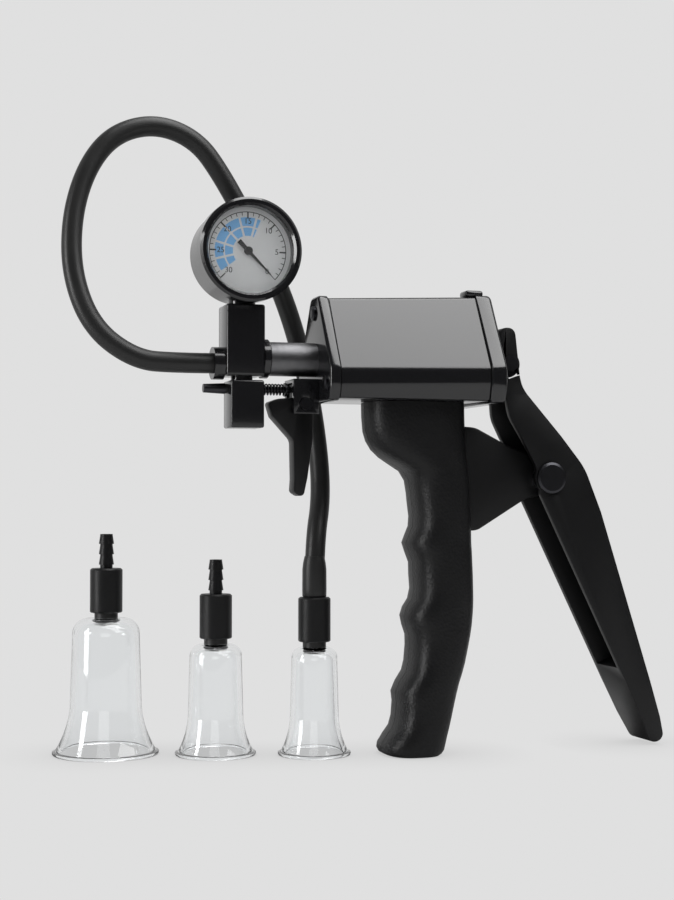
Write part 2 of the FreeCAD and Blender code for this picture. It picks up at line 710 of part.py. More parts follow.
def grip_loft(inset, corner):
    top = value("barrel_bottom") - inset
    stations = [row for row in GRIP_STATIONS if inset <= row[0] < top - 4]
    if inset:
        stations = [(inset, GRIP_STATIONS[0][1], GRIP_STATIONS[0][2])] + stations
    stations = stations + [(top, -18.4, 20.5)]
    half = value("grip_half") - inset
    wires = []
    for z, front, rear in stations:
        room = (rear - front) / 2 - inset - 0.2
        wires.append(grip_section(z, front + inset, rear - inset, half, min(corner, room)))
    return Part.makeLoft(wires, True, True)


def grip_arm():
    """The plate, inside the lever's channel, that carries the lever's pivot."""
    half = value("arm_half")
    pivot = Vector(value("pivot_along"), 0, value("pivot_height"))
    boss_radius = value("pivot_boss_radius")
    points = [Vector(16, 0, pivot.z + 19.9), Vector(24.8, 0, pivot.z + 19.2), pivot + Vector(-15.3, 0, 12.5),
              pivot + Vector(2.9, 0, 5.6), pivot + Vector(2.3, 0, -5.9), pivot + Vector(-7.7, 0, -7.9),
              Vector(25.3, 0, pivot.z - 20.1), Vector(16, 0, pivot.z - 20.1)]
    plate = Part.Face(Part.makePolygon(points + [points[0]])).extrude(Vector(0, -half, 0))
    boss = Part.makeCylinder(boss_radius, half, pivot, Vector(0, -1, 0))
    return plate.fuse(boss).removeSplitter()


foot_screw_along = value("foot_front + foot_length / 2")
foot_screw_height = value("barrel_bottom - foot_height / 2")
GRIP_SCREWS = [(foot_screw_along, foot_screw_height), (4.5, 14.0), (11.0, 62.0), (14.0, 96.0)]


def grip_shell(screw_depth):
    """The shell on the side of -Y: wall, screw bosses and arm, less the holes."""
    wall = value("grip_wall")
    half = value("grip_half")
    cavity = grip_loft(wall, value("grip_corner") - wall)
    shell = grip_loft(0, value("grip_corner")).cut(cavity)
    shell = shell.fuse(grip_arm())
    for along, height in GRIP_SCREWS[1:]:
        shell = shell.fuse(Part.makeCylinder(3.4, half - wall / 2, Vector(along, 0, height), Vector(0, -1, 0)))
    foot_half = value("foot_half + seat_gap")
    foot_room = Part.makeBox(value("foot_length + 2 * seat_gap"), foot_half, value("foot_height") + 2,
                             Vector(value("foot_front - seat_gap"), -foot_half,
                                    value("barrel_bottom - foot_height - seat_gap")))
    shell = shell.cut(foot_room)
    ear = Part.makeCylinder(3.4, half - wall / 2 - foot_half, Vector(foot_screw_along, -foot_half, foot_screw_height),
                            Vector(0, -1, 0))
    shell = shell.fuse(ear)
    for along, height in GRIP_SCREWS:
        hole = Part.makeCylinder(value("grip_screw_radius + fit"), screw_depth,
                                 Vector(along, 0, height), Vector(0, -1, 0))
        shell = shell.cut(hole)
    pin_room = Part.makeCylinder(value("pivot_pin_radius + fit"), half,
                                 Vector(value("pivot_along"), 0, value("pivot_height")), Vector(0, -1, 0))
    return shell.cut(pin_room).removeSplitter()


# The screws go in from the right and end inside the left shell's wall.
left_shell = grip_shell(value("grip_half - 1.2 + seat_gap"))
right_shell = grip_shell(value("2 * grip_half")).mirror(Vector(), Y_AXIS)
for label, shape in (("grip_shell_left", left_shell), ("grip_shell_right", right_shell)):
    shell = doc.addObject("Part::Feature", label.title().replace("_", ""))
    shell.Shape = shape
    keep(shell, label)

grip_screws = []
for index, (along, height) in enumerate(GRIP_SCREWS):
    body = turned("GripScrew%d" % index, "y", [
        ("-(grip_half - 1.2)", "0"), ("grip_half + 1.3", "0"), ("grip_half + 1.3", "grip_screw_head * 0.6"),
        ("grip_half + 0.8", "grip_screw_head"), ("grip_half", "grip_screw_head"),
        ("grip_half", "grip_screw_radius"), ("-(grip_half - 1.2)", "grip_screw_radius")])
    place(body, "%.3f" % along, "0", "%.3f" % height)
    grip_screws.append(body)
group("grip_screws", grip_screws)

# --- outlet tube and manifold ---------------------------------------------------------
outlet_tube = turned("OutletTube", "x", [
    ("-spigot_length", "tube_bore"), ("tube_length + spigot_length", "tube_bore"),
    ("tube_length + spigot_length", "spigot_radius"), ("tube_length", "spigot_radius"), ("tube_length", "tube_radius"),
    ("0", "tube_radius"), ("0", "spigot_radius"), ("-spigot_length", "spigot_radius")])
place(outlet_tube, "manifold_rear", "0", "axis_height")
keep(outlet_tube, "outlet_tube")

tube_nut = turned("TubeNut", "x", [
    ("0", "tube_radius + fit"), ("tube_nut_width", "tube_radius + fit"), ("tube_nut_width", "tube_nut_radius - 0.4"),
    ("tube_nut_width - 0.4", "tube_nut_radius"), ("0", "tube_nut_radius")])
place(tube_nut, "manifold_rear", "0", "axis_height")
keep(tube_nut, "tube_nut")

manifold_box = side_plate("ManifoldBox", [
    ("0", "0"), ("manifold_length", "0"), ("manifold_length", "manifold_height"), ("0", "manifold_height")],
    "manifold_half")
soften(manifold_box, "1.2", [("0", "0"), ("manifold_length", "0"), ("manifold_length", "manifold_height"),
                             ("0", "manifold_height")])
place(manifold_box, "manifold_front", "0", "manifold_bottom")
manifold_tools = [
    rod("ManifoldTubeSocket", "x", "spigot_radius + fit", "spigot_length + fit",
        "manifold_rear - spigot_length - fit", "0", "axis_height"),
    rod("ManifoldHoseSocket", "x", "spigot_radius + fit", "spigot_length + fit", "manifold_front", "0", "port_height"),
    rod("ManifoldPassage", "x", "1.6", "manifold_length", "manifold_front", "0", "port_height"),
    rod("ManifoldRiser", "z", "1.6", "manifold_height", "manifold_middle", "0", "manifold_bottom"),
    rod("ManifoldGaugeSocket", "z", "stem_socket_radius + fit", "manifold_height", "manifold_middle", "0",
        "manifold_top - stem_socket_depth - seat_gap"),
    rod("ManifoldValveSocket", "z", "2.5 + fit", "4", "manifold_middle", "0", "manifold_bottom")]
keep(cut("ManifoldDrilled", manifold_box, *manifold_tools), "manifold_block")

hose_fitting = turned("HoseFitting", "x", [
    ("spigot_length", "barb_bore"), ("spigot_length", "spigot_radius"), ("0", "spigot_radius"), ("0", "collar_radius"),
    ("-collar_width", "collar_radius"), ("-collar_width", "barb_radius - 0.5"),
    ("-collar_width - 3", "barb_radius"), ("-collar_width - 3", "barb_radius - 0.5"),
    ("-collar_width - 6", "barb_radius"), ("-collar_width - 6", "barb_radius - 0.5"),
    ("-collar_width - port_barb_length", "barb_radius - 0.5"), ("-collar_width - port_barb_length", "barb_bore")])
place(hose_fitting, "manifold_front", "0", "port_height")
keep(hose_fitting, "hose_fitting")

# --- release valve ----------------------------------------------------------------------
valve_box = side_plate("ValveBox", [
    ("-valve_body_length / 2", "-valve_body_height"), ("valve_body_length / 2", "-valve_body_height"),
    ("valve_body_length / 2", "0"), ("-valve_body_length / 2", "0")], "valve_body_half")
place(valve_box, "valve_middle", "0", "valve_top")
valve_neck = rod("ValveNeck", "z", "valve_neck_radius", "valve_neck_height", "manifold_middle", "0", "valve_top")
valve_spigot = rod("ValveSpigot", "z", "2.5", "valve_neck_height + 3.8", "manifold_middle", "0", "valve_top")
valve_tools = [
    rod("StemBore", "x", "stem_radius + running_fit", "valve_body_length", "valve_front", "0", "stem_height"),
    rod("ValveRiser", "z", "1.2", "12", "manifold_middle", "0", "stem_height")]
keep(cut("ValveDrilled", fuse("ValveBlank", valve_box, valve_neck, valve_spigot), *valve_tools), "valve_body")

stem_front = "-(valve_body_length + seat_gap + valve_seal_width)"
valve_stem = turned("ValveStem", "x", [
    (stem_front + " - stem_head_width", "0"), ("stem_reach", "0"), ("stem_reach", "stem_radius"),
    (stem_front, "stem_radius"), (stem_front, "stem_head_radius"),
    (stem_front + " - stem_head_width", "stem_head_radius - 0.4")])
place(valve_stem, "valve_rear", "0", "stem_height")
keep(valve_stem, "valve_stem")

valve_seal = turned("ValveSeal", "x", [
    ("0", "stem_radius + fit"), ("valve_seal_width", "stem_radius + fit"),
    ("valve_seal_width", "stem_head_radius - 0.2"), ("0", "stem_head_radius - 0.2")])
place(valve_seal, "valve_front - seat_gap - valve_seal_width", "0", "stem_height")
keep(valve_seal, "valve_seal")

valve_clip = turned("ValveClip", "x", [
    ("0", "stem_radius + fit"), ("0.6", "stem_radius + fit"), ("0.6", "stem_radius + 1.3"), ("0", "stem_radius + 1.3")])
place(valve_clip, "stem_rear - 2.4", "0", "stem_height")
keep(valve_clip, "valve_clip")

coil_spring("valve_spring", value("valve_spring_radius"), value("valve_spring_wire"), value("valve_spring_turns"),
            value("stem_reach - 2.4 - 2 * seat_gap"), value("valve_rear + seat_gap"), value("stem_height"))

# --- trigger --------------------------------------------------------------------------------


def from_trigger_pivot(along, up):
    return "trigger_pivot_along + %.1f" % along, "trigger_pivot_height + %.1f" % up


TRIGGER_TIP = [from_trigger_pivot(-0.1, -34.8), from_trigger_pivot(-3.9, -32.4)]
TRIGGER_BENDS = [from_trigger_pivot(-3.9, -13.2), from_trigger_pivot(3.6, -13.0)]
TRIGGER_CORNERS = [from_trigger_pivot(-13.4, 0.6), from_trigger_pivot(-11.8, -4.6), from_trigger_pivot(3.8, 2.6)]
trigger = side_plate("Trigger", [
    ("stem_rear + side_gap", "stem_height + 2.2"), ("trigger_pivot_along + 0.2", "stem_height + 2.2"),
    TRIGGER_CORNERS[2], TRIGGER_BENDS[1], from_trigger_pivot(1.6, -27.0)] + TRIGGER_TIP + [
    from_trigger_pivot(-3.6, -27.6), TRIGGER_BENDS[0], TRIGGER_CORNERS[1], TRIGGER_CORNERS[0],
    from_trigger_pivot(-9.6, 2.0), ("stem_rear + side_gap", "trigger_pivot_height + 2.5")], "trigger_half",
    [("trigger_pin_radius + running_fit", "trigger_pivot_along", "trigger_pivot_height")])
soften(trigger, "1.6", TRIGGER_TIP)
soften(trigger, "4", TRIGGER_BENDS)
soften(trigger, "1.2", TRIGGER_CORNERS)
keep(trigger, "trigger")

bracket_blank = box("BracketBlank", "front_cap_front - bracket_length", "-bracket_half", "trigger_pivot_height - 3.6",
                    "bracket_length", "2 * bracket_half", "stem_height - trigger_pivot_height + 7.4")
bracket_slot = box("BracketSlot", "front_cap_front - bracket_length", "-(trigger_half + side_gap)",
                   "trigger_pivot_height - 10", "bracket_length", "2 * (trigger_half + side_gap)",
                   "stem_height - trigger_pivot_height + 12.4")
bracket_hole = rod("BracketHole", "y", "trigger_pin_radius + fit", "4 * bracket_half", "trigger_pivot_along",
                   "-2 * bracket_half", "trigger_pivot_height")
keep(cut("BracketCut", bracket_blank, bracket_slot, bracket_hole), "trigger_bracket")

trigger_pin = turned("TriggerPin", "y", [
    ("-(bracket_half + 1)", "0"), ("bracket_half + 0.6", "0"), ("bracket_half + 0.6", "trigger_pin_radius"),
    ("-bracket_half", "trigger_pin_radius"), ("-bracket_half", "trigger_pin_radius + 0.8"),
    ("-(bracket_half + 1)", "trigger_pin_radius + 0.8")])
place(trigger_pin, "trigger_pivot_along", "0", "trigger_pivot_height")
keep(trigger_pin, "trigger_pin")

# --- gauge ------------------------------------------------------------------------------------
gauge_stem_top = "gauge_height - bourdon_radius - bourdon_tube - seat_gap - manifold_top"
gauge_stem = turned("GaugeStem", "z", [
    ("-stem_socket_depth", "0"), ("-stem_socket_depth", "stem_socket_radius"),
    (gauge_stem_top, "stem_socket_radius"), (gauge_stem_top, "0")])
place(gauge_stem, "manifold_middle", "0", "manifold_top")
gauge_stem_bore = rod("GaugeStemBore", "z", "1.2", "20", "manifold_middle", "0", "manifold_top - stem_socket_depth")
keep(cut("GaugeStemDrilled", gauge_stem, gauge_stem_bore), "gauge_stem")

case_blank = turned("CaseBlank", "y", [
    ("case_front", "case_radius - case_wall"), ("case_front", "case_radius"), ("case_back - 1.5", "case_radius"),
    ("case_back", "case_radius - 1.5"), ("case_back", "0"), ("case_back - case_wall", "0"),
    ("case_back - case_wall", "case_radius - case_wall - 1.4"),
    ("dial_plane + dial_thickness", "case_radius - case_wall - 1.4"),
    ("dial_plane + dial_thickness", "case_radius - case_wall")])
place(case_blank, "gauge_along", "0", "gauge_height")
case_hole = rod("CaseHole", "z", "stem_socket_radius + fit", "case_radius", "manifold_middle", "0",
                "gauge_height - case_radius - 8")
keep(cut("CaseDrilled", case_blank, case_hole), "gauge_case")

bezel = turned("GaugeBezel", "y", [
    ("bezel_front", "window_radius + 0.8"), ("bezel_front", "bezel_radius - 0.9"),
    ("bezel_front + 0.9", "bezel_radius"), ("case_front + bezel_grip", "bezel_radius"),
    ("case_front + bezel_grip", "case_radius + fit"), ("lens_front", "case_radius + fit"), ("lens_front", "window_radius")])
place(bezel, "gauge_along", "0", "gauge_height")
keep(bezel, "gauge_bezel")

lens = turned("GaugeLens", "y", [
    ("lens_front", "0"), ("lens_front", "case_radius"), ("case_front", "case_radius"), ("case_front", "0")])
place(lens, "gauge_along", "0", "gauge_height")
keep(lens, "gauge_lens")

dial = turned("GaugeDial", "y", [
    ("dial_plane", "1"), ("dial_plane + dial_thickness", "1"),
    ("dial_plane + dial_thickness", "case_radius - case_wall - fit"), ("dial_plane", "case_radius - case_wall - fit")])
place(dial, "gauge_along", "0", "gauge_height")
keep(dial, "gauge_dial")

needle_blade = side_plate("NeedleBlade", [
    ("needle_length", "0.15"), ("0", "0.6"), ("-needle_tail", "0.85"), ("-needle_tail", "-0.85"), ("0", "-0.6"),
    ("needle_length", "-0.15")], "needle_thickness / 2")
needle_blade.Placement = Placement(Vector(), Rotation(Y_AXIS, 45))
place(needle_blade, "gauge_along", "dial_plane - needle_gap", "gauge_height")
needle_hub = turned("NeedleHub", "y", [
    ("-0.7", "0"), ("-0.7", "1.5"), ("0.6", "1.5"), ("0.6", "0.6"), ("5.2", "0.6"), ("5.2", "pinion_radius"),
    ("7.2", "pinion_radius"), ("7.2", "0.5"), ("8", "0.5"), ("8", "0")])
place(needle_hub, "gauge_along", "dial_plane - needle_gap", "gauge_height")
keep(fuse("NeedleWhole", needle_blade, needle_hub), "gauge_needle")

plate_front = "(dial_plane + 2.6)"
movement_plate = side_plate("MovementPlate", [("-8", "-10.4"), ("8", "-10.4"), ("8", "6"), ("-8", "6")], "0.5",
                            [("0.65", "0", "0")])
place(movement_plate, "gauge_along", plate_front, "gauge_height")
posts = []
for index, (across, up) in enumerate(((-6.4, -2.0), (6.4, -2.0), (0.0, -8.5))):
    radius, length = ("1.2", "(case_back - case_wall) - " + plate_front) if across else ("0.6", "5")
    posts.append(rod("MovementPost%d" % index, "y", radius, length, "gauge_along + %.1f" % across,
                     plate_front, "gauge_height + %.1f" % up))
keep(fuse("MovementWhole", movement_plate, *posts), "gauge_movement")

sector_reach = "(sector_drop - pinion_radius - sector_gap)"
sector = side_plate("GaugeSector", [
    ("-1.6", "-1.6"), ("1.6", "-1.6"), ("%s * sin(30)" % sector_reach, "%s * cos(30)" % sector_reach),
    ("%s * sin(15)" % sector_reach, "%s * cos(15)" % sector_reach), ("0", sector_reach),
    ("-%s * sin(15)" % sector_reach, "%s * cos(15)" % sector_reach),
    ("-%s * sin(30)" % sector_reach, "%s * cos(30)" % sector_reach)], "0.5", [("0.65", "0", "0")])
sector.Placement = Placement(Vector(), Rotation(Y_AXIS, -16))
place(sector, "gauge_along", "dial_plane + 5.4", "gauge_height - sector_drop")
keep(sector, "gauge_sector")

bourdon = doc.addObject("Part::Torus", "Bourdon")
sized(bourdon, "Radius1", "bourdon_radius")
sized(bourdon, "Radius2", "bourdon_tube")
bourdon.Angle3 = 250
bourdon.Placement = Placement(Vector(), Rotation(X_AXIS, 90) * Rotation(Z_AXIS, -80))
place(bourdon, "gauge_along", "3.2", "gauge_height")
keep(bourdon, "bourdon_tube")

# --- cups --------------------------------------------------------------------------------------


def bell(name, rim, body, height):
    """A clear bell cup: rolled rim, flared skirt, straight body and rounded shoulder."""
    wall = value("cup_wall")
    rim_radius = value(rim)
    body_radius = value(body)
    top = value(height)
    skirt = 0.34 * top
    neck = value("barb_bore") + 1.2
    lip = 1.1

    def wall_line(inset):
        shoulder = body_radius * 0.45 - inset * 0.5
        waist = body_radius + (rim_radius - body_radius) * 0.12
        start = Vector(rim_radius - lip - inset, 0, 1.6 if inset == 0 else 0)
        flare = Vector(waist - inset, 0, skirt)
        bulge = Vector((start.x * 0.36 + flare.x * 0.64), 0, skirt * 0.5)
        side = Vector(body_radius - inset, 0, top - inset - shoulder)
        turn = Vector(side.x - shoulder * (1 - math.sqrt(0.5)), 0, top - inset - shoulder * (1 - math.sqrt(0.5)))
        finish = Vector(side.x - shoulder, 0, top - inset)
        edges = [Part.Arc(start, bulge, flare).toShape(), Part.LineSegment(flare, side).toShape(),
                 Part.Arc(side, turn, finish).toShape()]
        return edges, start, finish
    outer, outer_start, outer_end = wall_line(0)
    inner, inner_start, inner_end = wall_line(wall)
    rim_edge = Vector(rim_radius, 0, 0.8)
    rim_foot = Vector(rim_radius - 0.8, 0, 0)
    rim_turn = Vector(rim_radius - 0.8 * (1 - math.sqrt(0.5)), 0, 0.8 * (1 - math.sqrt(0.5)))
    rim_top = Vector(rim_radius, 0, 1.2)
    loop = outer + [
        Part.LineSegment(outer_end, Vector(neck, 0, top)).toShape(),
        Part.LineSegment(Vector(neck, 0, top), Vector(neck, 0, top - wall)).toShape(),
        Part.LineSegment(Vector(neck, 0, top - wall), inner_end).toShape()] + inner + [
        Part.LineSegment(inner_start, rim_foot).toShape(), Part.Arc(rim_foot, rim_turn, rim_edge).toShape(),
        Part.LineSegment(rim_edge, rim_top).toShape(), Part.LineSegment(rim_top, outer_start).toShape()]
    face = Part.Face(Part.Wire(Part.sortEdges(loop)[0]))
    cup = doc.addObject("Part::Feature", name.title().replace("_", ""))
    cup.Shape = face.revolve(Vector(), Z_AXIS, 360)
    return keep(cup, name)


def cup_set(size_name):
    """A cup with its washer and its barbed hose connector."""
    along = size_name + "_along"
    across = size_name + "_across"
    height = size_name + "_height"
    cup = bell(size_name + "_cup", size_name + "_rim", size_name + "_body", height)
    place(cup, along, across)
    washer = turned(size_name.title() + "Washer", "z", [
        ("0", "barb_bore"), ("washer_thickness", "barb_bore"), ("washer_thickness", "washer_radius"),
        ("0", "washer_radius")])
    place(washer, along, across, height)
    keep(washer, size_name + "_cup_washer")
    base = "connector_height"
    ridges = []
    for index in range(3):
        foot_of_ridge = "%s + 1.4 + 3.9 * %d" % (base, index)
        ridges += [(foot_of_ridge, "barb_radius - 0.5"), (foot_of_ridge, "barb_radius"),
                   (foot_of_ridge + " + 3.3", "barb_radius - 0.5")]
    connector = turned(size_name.title() + "Connector", "z", [
        ("0", "barb_bore"), ("0", "connector_radius - 0.4"), ("0.4", "connector_radius"),
        (base + " - 0.6", "connector_radius"), (base, "connector_radius - 0.6"), (base, "barb_radius - 0.5")] + ridges + [
        (base + " + cup_barb_length", "barb_radius - 0.5"), (base + " + cup_barb_length", "barb_bore")])
    place(connector, along, across, height + " + washer_thickness")
    keep(connector, size_name + "_connector")


for size_name in ("large", "medium", "small"):
    cup_set(size_name)

# --- hose -------------------------------------------------------------------------------------------
port = Vector(value("manifold_front - collar_width"), 0, value("port_height"))
cup_port = Vector(value("small_along"), value("small_across"),
                  value("small_height + washer_thickness + connector_height"))
route = [
    port, Vector(-90, 0, port.z - 0.2), Vector(-105, 1, port.z + 0.6), Vector(-120.3, 3.5, 157.5),
    Vector(-127.4, 7, 177), Vector(-127, 10.5, 199), Vector(-121, 13, 218.3), Vector(-110.8, 14.5, 231.3),
    Vector(-95, 15.5, 236.3), Vector(-79.3, 16.5, 231.3), Vector(-69.2, 17.5, 218.6), Vector(-57, 19, 198),
    Vector(-44.8, 22.5, 177.5), Vector(-34.8, 28, 153), Vector(-28.7, 29, 125), Vector(-28.7, 20.5, 98),
    Vector(cup_port.x, cup_port.y, cup_port.z + 20), cup_port]


def rounded_path(points):
    """Straight runs joined by the largest tangent arcs that their lengths allow."""
    edges = []
    start = points[0]
    for before, corner, after in zip(points, points[1:], points[2:]):
        inward = (before - corner).normalize()
        outward = (after - corner).normalize()
        half_turn = (math.pi - inward.getAngle(outward)) / 2
        reach = 0.45 * min((before - corner).Length, (after - corner).Length)
        radius = reach / math.tan(half_turn)
        print("hose radius %.1f mm, turn %.0f degrees" % (radius, math.degrees(2 * half_turn)))
        middle = (inward + outward).normalize()
        arc_start = corner + inward * reach
        arc_end = corner + outward * reach
        arc_middle = corner + middle * (radius / math.cos(half_turn) - radius)
        edges.append(Part.LineSegment(start, arc_start).toShape())
        edges.append(Part.Arc(arc_start, arc_middle, arc_end).toShape())
        start = arc_end
    edges.append(Part.LineSegment(start, points[-1]).toShape())
    return Part.Wire(edges)


path = rounded_path(route)
section = Part.Wire(Part.makeCircle(value("hose_radius"), port, Vector(-1, 0, 0)))
tube = path.makePipeShell([section], True, False)
print("hose length %.1f mm" % path.Length)
print("hose volume %.1f, section times length %.1f" % (
    tube.Volume, math.pi * value("hose_radius") ** 2 * path.Length))
end_length = value("cup_barb_length") + 2
swollen_end = Part.makeCylinder(value("hose_end_radius"), end_length, cup_port, Z_AXIS)
cup_barb_room = Part.makeCylinder(value("barb_fit_radius"), value("cup_barb_length + seat_gap"), cup_port, Z_AXIS)
port_barb_room = Part.makeCylinder(value("barb_fit_radius"), value("port_barb_length + seat_gap"), port,
                                   Vector(-1, 0, 0))
below_port = Part.makeCylinder(2 * value("hose_end_radius"), 1, cup_port - Vector(0, 0, 1), Z_AXIS)
hose = doc.addObject("Part::Feature", "Hose")
hose.Shape = tube.fuse(swollen_end).cut(cup_barb_room).cut(port_barb_room).cut(below_port)
keep(hose, "hose")

# --- check and write -----------------------------------------------------------------------------------
doc.recompute()
for item in doc.Objects:
    if "Invalid" in item.State or "Error" in item.State:
        raise RuntimeError("object failed: %s %s" % (item.Name, item.State))
for item in kept:
    if item.Shape.isNull() or not item.Shape.isValid() or item.Shape.Volume <= 0:
        raise RuntimeError("bad shape: %s" % item.Label)
for item in kept:
    item.Shape.exportStep(os.path.join("parts", item.Label + ".step"))
print("%d nodes written" % len(kept))
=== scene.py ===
# %% [markdown]
# # A hand vacuum pump
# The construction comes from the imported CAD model: every size and place below is read from it. This
# file gives the pump its looks: rounded edges, moulded grips, a printed dial, clear cups and the hose.

# %% Load the frame
import math

import bmesh
import bpy
from mathutils import Matrix, Vector


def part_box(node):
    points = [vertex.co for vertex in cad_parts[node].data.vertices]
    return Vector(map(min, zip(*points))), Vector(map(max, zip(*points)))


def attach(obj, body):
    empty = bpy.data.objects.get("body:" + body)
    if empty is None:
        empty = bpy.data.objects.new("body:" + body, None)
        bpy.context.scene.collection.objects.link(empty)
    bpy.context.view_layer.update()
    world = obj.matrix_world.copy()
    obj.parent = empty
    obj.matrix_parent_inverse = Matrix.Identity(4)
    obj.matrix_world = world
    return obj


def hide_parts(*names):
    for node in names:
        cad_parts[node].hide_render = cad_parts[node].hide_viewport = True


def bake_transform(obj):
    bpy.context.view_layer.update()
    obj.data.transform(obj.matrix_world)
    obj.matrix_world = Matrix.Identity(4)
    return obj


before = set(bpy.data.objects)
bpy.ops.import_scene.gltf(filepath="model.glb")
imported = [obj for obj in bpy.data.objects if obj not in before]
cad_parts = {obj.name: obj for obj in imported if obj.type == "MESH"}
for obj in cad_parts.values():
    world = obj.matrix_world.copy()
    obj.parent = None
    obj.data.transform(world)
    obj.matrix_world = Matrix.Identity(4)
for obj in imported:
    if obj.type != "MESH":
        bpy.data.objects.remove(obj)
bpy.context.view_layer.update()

MM = 0.001

# %% [markdown]
# ## Camera
# The pump is seen from its gauge side, turned twenty degrees towards its nose, from just below the
# height of the cylinder. A long lens keeps the perspective calm, so the uprights stay upright.

# %% Camera
CAMERA_TURN = math.radians(20)
CAMERA_DISTANCE = 620 * MM
CAMERA_HEIGHT = 95.6 * MM
AIM_LEFT = math.radians(2.56)
AIM_UP = math.radians(1.76)
CAMERA_LENS = 65.3
SENSOR_WIDTH = 36


def place_camera():
    """A long-lens camera on the gauge side of the pump."""
    camera = bpy.data.objects.new("camera", bpy.data.cameras.new("camera"))
    bpy.context.scene.collection.objects.link(camera)
    camera.data.lens = CAMERA_LENS
    camera.data.sensor_width = SENSOR_WIDTH
    camera.data.clip_start = 0.01
    camera.location = (-math.sin(CAMERA_TURN) * CAMERA_DISTANCE,
                       -math.cos(CAMERA_TURN) * CAMERA_DISTANCE, CAMERA_HEIGHT)
    camera.rotation_euler = (math.radians(90) + AIM_UP, 0, -CAMERA_TURN + AIM_LEFT)
    bpy.context.scene.camera = camera


place_camera()
print("camera stands", round(CAMERA_DISTANCE / MM), "mm away")

# %% [markdown]
# ## Shader maths
# A pattern that varies over a surface could be wired up node by node, but it reads more easily as
# arithmetic. So a Field wraps one socket and each operator on it adds one Math node. A Shading is a
# node tree with one method that adds any other node, and a Look is the Shading of a material.


# %% Shader maths
class Field:
    """A number that varies over a surface, on which plain arithmetic works."""

    def __init__(self, look, socket):
        self.look = look
        self.socket = socket

    def math(self, operation, *others):
        return self.look.math(operation, self, *others)

    def __add__(self, other):
        return self.math("ADD", other)

    def __radd__(self, other):
        return self.look.math("ADD", other, self)

    def __sub__(self, other):
        return self.math("SUBTRACT", other)

    def __rsub__(self, other):
        return self.look.math("SUBTRACT", other, self)

    def __mul__(self, other):
        return self.math("MULTIPLY", other)

    def __rmul__(self, other):
        return self.look.math("MULTIPLY", other, self)

    def __truediv__(self, other):
        return self.math("DIVIDE", other)

    def above(self, limit):
        return self.math("GREATER_THAN", limit)

    def below(self, limit):
        return self.math("LESS_THAN", limit)

    def fraction(self):
        return self.math("FRACT")


class Shading:
    """A node tree, and short ways to add nodes to it."""

    def __init__(self, tree):
        self.tree = tree

    def add(self, kind, settings=None, **inputs):
        """One node: its settings first, then its sockets by name or by number."""
        node = self.tree.nodes.new("ShaderNode" + kind)
        for title, choice in (settings or {}).items():
            setattr(node, title, choice)
        for title, source in inputs.items():
            numbered = title[0] == "n" and title[1:].isdigit()
            key = int(title[1:]) if numbered else title.replace("_", " ")
            self.feed(node.inputs[key], source)
        return node

    def feed(self, socket, source):
        source = source.socket if isinstance(source, Field) else source
        if isinstance(source, bpy.types.NodeSocket):
            self.tree.links.new(source, socket)
        else:
            socket.default_value = source

    def math(self, operation, *values):
        inputs = {"n" + str(index): source for index, source in enumerate(values)}
        return Field(self, self.add("Math", {"operation": operation}, **inputs).outputs[0])

    def seen_through_air_or_glass(self):
        """1 for what the camera sees straight or through clear plastic, and 0 for all other light."""
        path = self.add("LightPath")
        straight = Field(self, path.outputs["Is Camera Ray"])
        return straight.math("MAXIMUM", path.outputs["Is Transmission Ray"])


class Look(Shading):
    """A material: its main shader, and short ways to vary it over the surface."""

    def __init__(self, name, color, roughness, **fixed):
        self.material = bpy.data.materials.new(name)
        self.material.use_nodes = True
        super().__init__(self.material.node_tree)
        self.shader = self.tree.nodes["Principled BSDF"]
        self.shader.inputs["Base Color"].default_value = (*color, 1)
        self.shader.inputs["Roughness"].default_value = roughness
        for title, amount in fixed.items():
            self.shader.inputs[title.replace("_", " ")].default_value = amount
        self.place = None

    def coordinates(self):
        if self.place is None:
            self.place = self.add("TexCoord").outputs["Object"]
        return self.place

    def axes(self, centre=(0, 0, 0)):
        """The object's X, Y and Z, counted from a point."""
        moved = self.add("VectorMath", {"operation": "SUBTRACT"},
                         n0=self.coordinates(), n1=centre)
        split = self.add("SeparateXYZ", n0=moved.outputs[0])
        return [Field(self, split.outputs[index]) for index in range(3)]

    def noise(self, scale, detail=3.0, stretch=None):
        place = self.coordinates()
        if stretch:
            stretched = self.add("VectorMath", {"operation": "MULTIPLY"}, n0=place, n1=stretch)
            place = stretched.outputs[0]
        node = self.add("TexNoise", Vector=place, Scale=scale, Detail=detail)
        return Field(self, node.outputs["Fac"])

    def mix_color(self, amount, first, second):
        node = self.add("Mix", {"data_type": "RGBA"}, n0=amount, n6=first, n7=second)
        return node.outputs[2]

    def color(self, source):
        self.feed(self.shader.inputs["Base Color"], source)

    def roughness(self, source):
        self.feed(self.shader.inputs["Roughness"], source)

    def bump(self, height, strength, distance):
        node = self.add("Bump", Height=height, Strength=strength, Distance=distance)
        self.feed(self.shader.inputs["Normal"], node.outputs[0])


# %% [markdown]
# ## Finishes
# The casting and manifold have a gloss enamel, faintly dimpled like all sprayed paint. The grips and the
# lever are moulded in a satin plastic with a spark-eroded grain. One flat colour would look like a toy, so
# each finish varies its gloss with a slow noise and its surface with a fine one. The cups are clear acrylic.


# %% Finishes
def gloss_enamel():
    look = Look("gloss_enamel", (0.007, 0.007, 0.008), 0.16, Coat_Weight=0.35)
    look.shader.inputs["Coat Roughness"].default_value = 0.05
    orange_peel = look.noise(900, 2)
    cloud = look.noise(60, 3)
    look.roughness(cloud * 0.12 + 0.11)
    look.bump(orange_peel, 0.05, 0.0002)
    return look.material


def satin_plastic():
    look = Look("satin_plastic", (0.004, 0.004, 0.0044), 0.38, IOR=1.38)
    grain = look.noise(2600, 2)
    cloud = look.noise(45, 4)
    look.roughness(cloud * 0.16 + 0.33)
    look.bump(grain, 0.16, 0.0002)
    return look.material


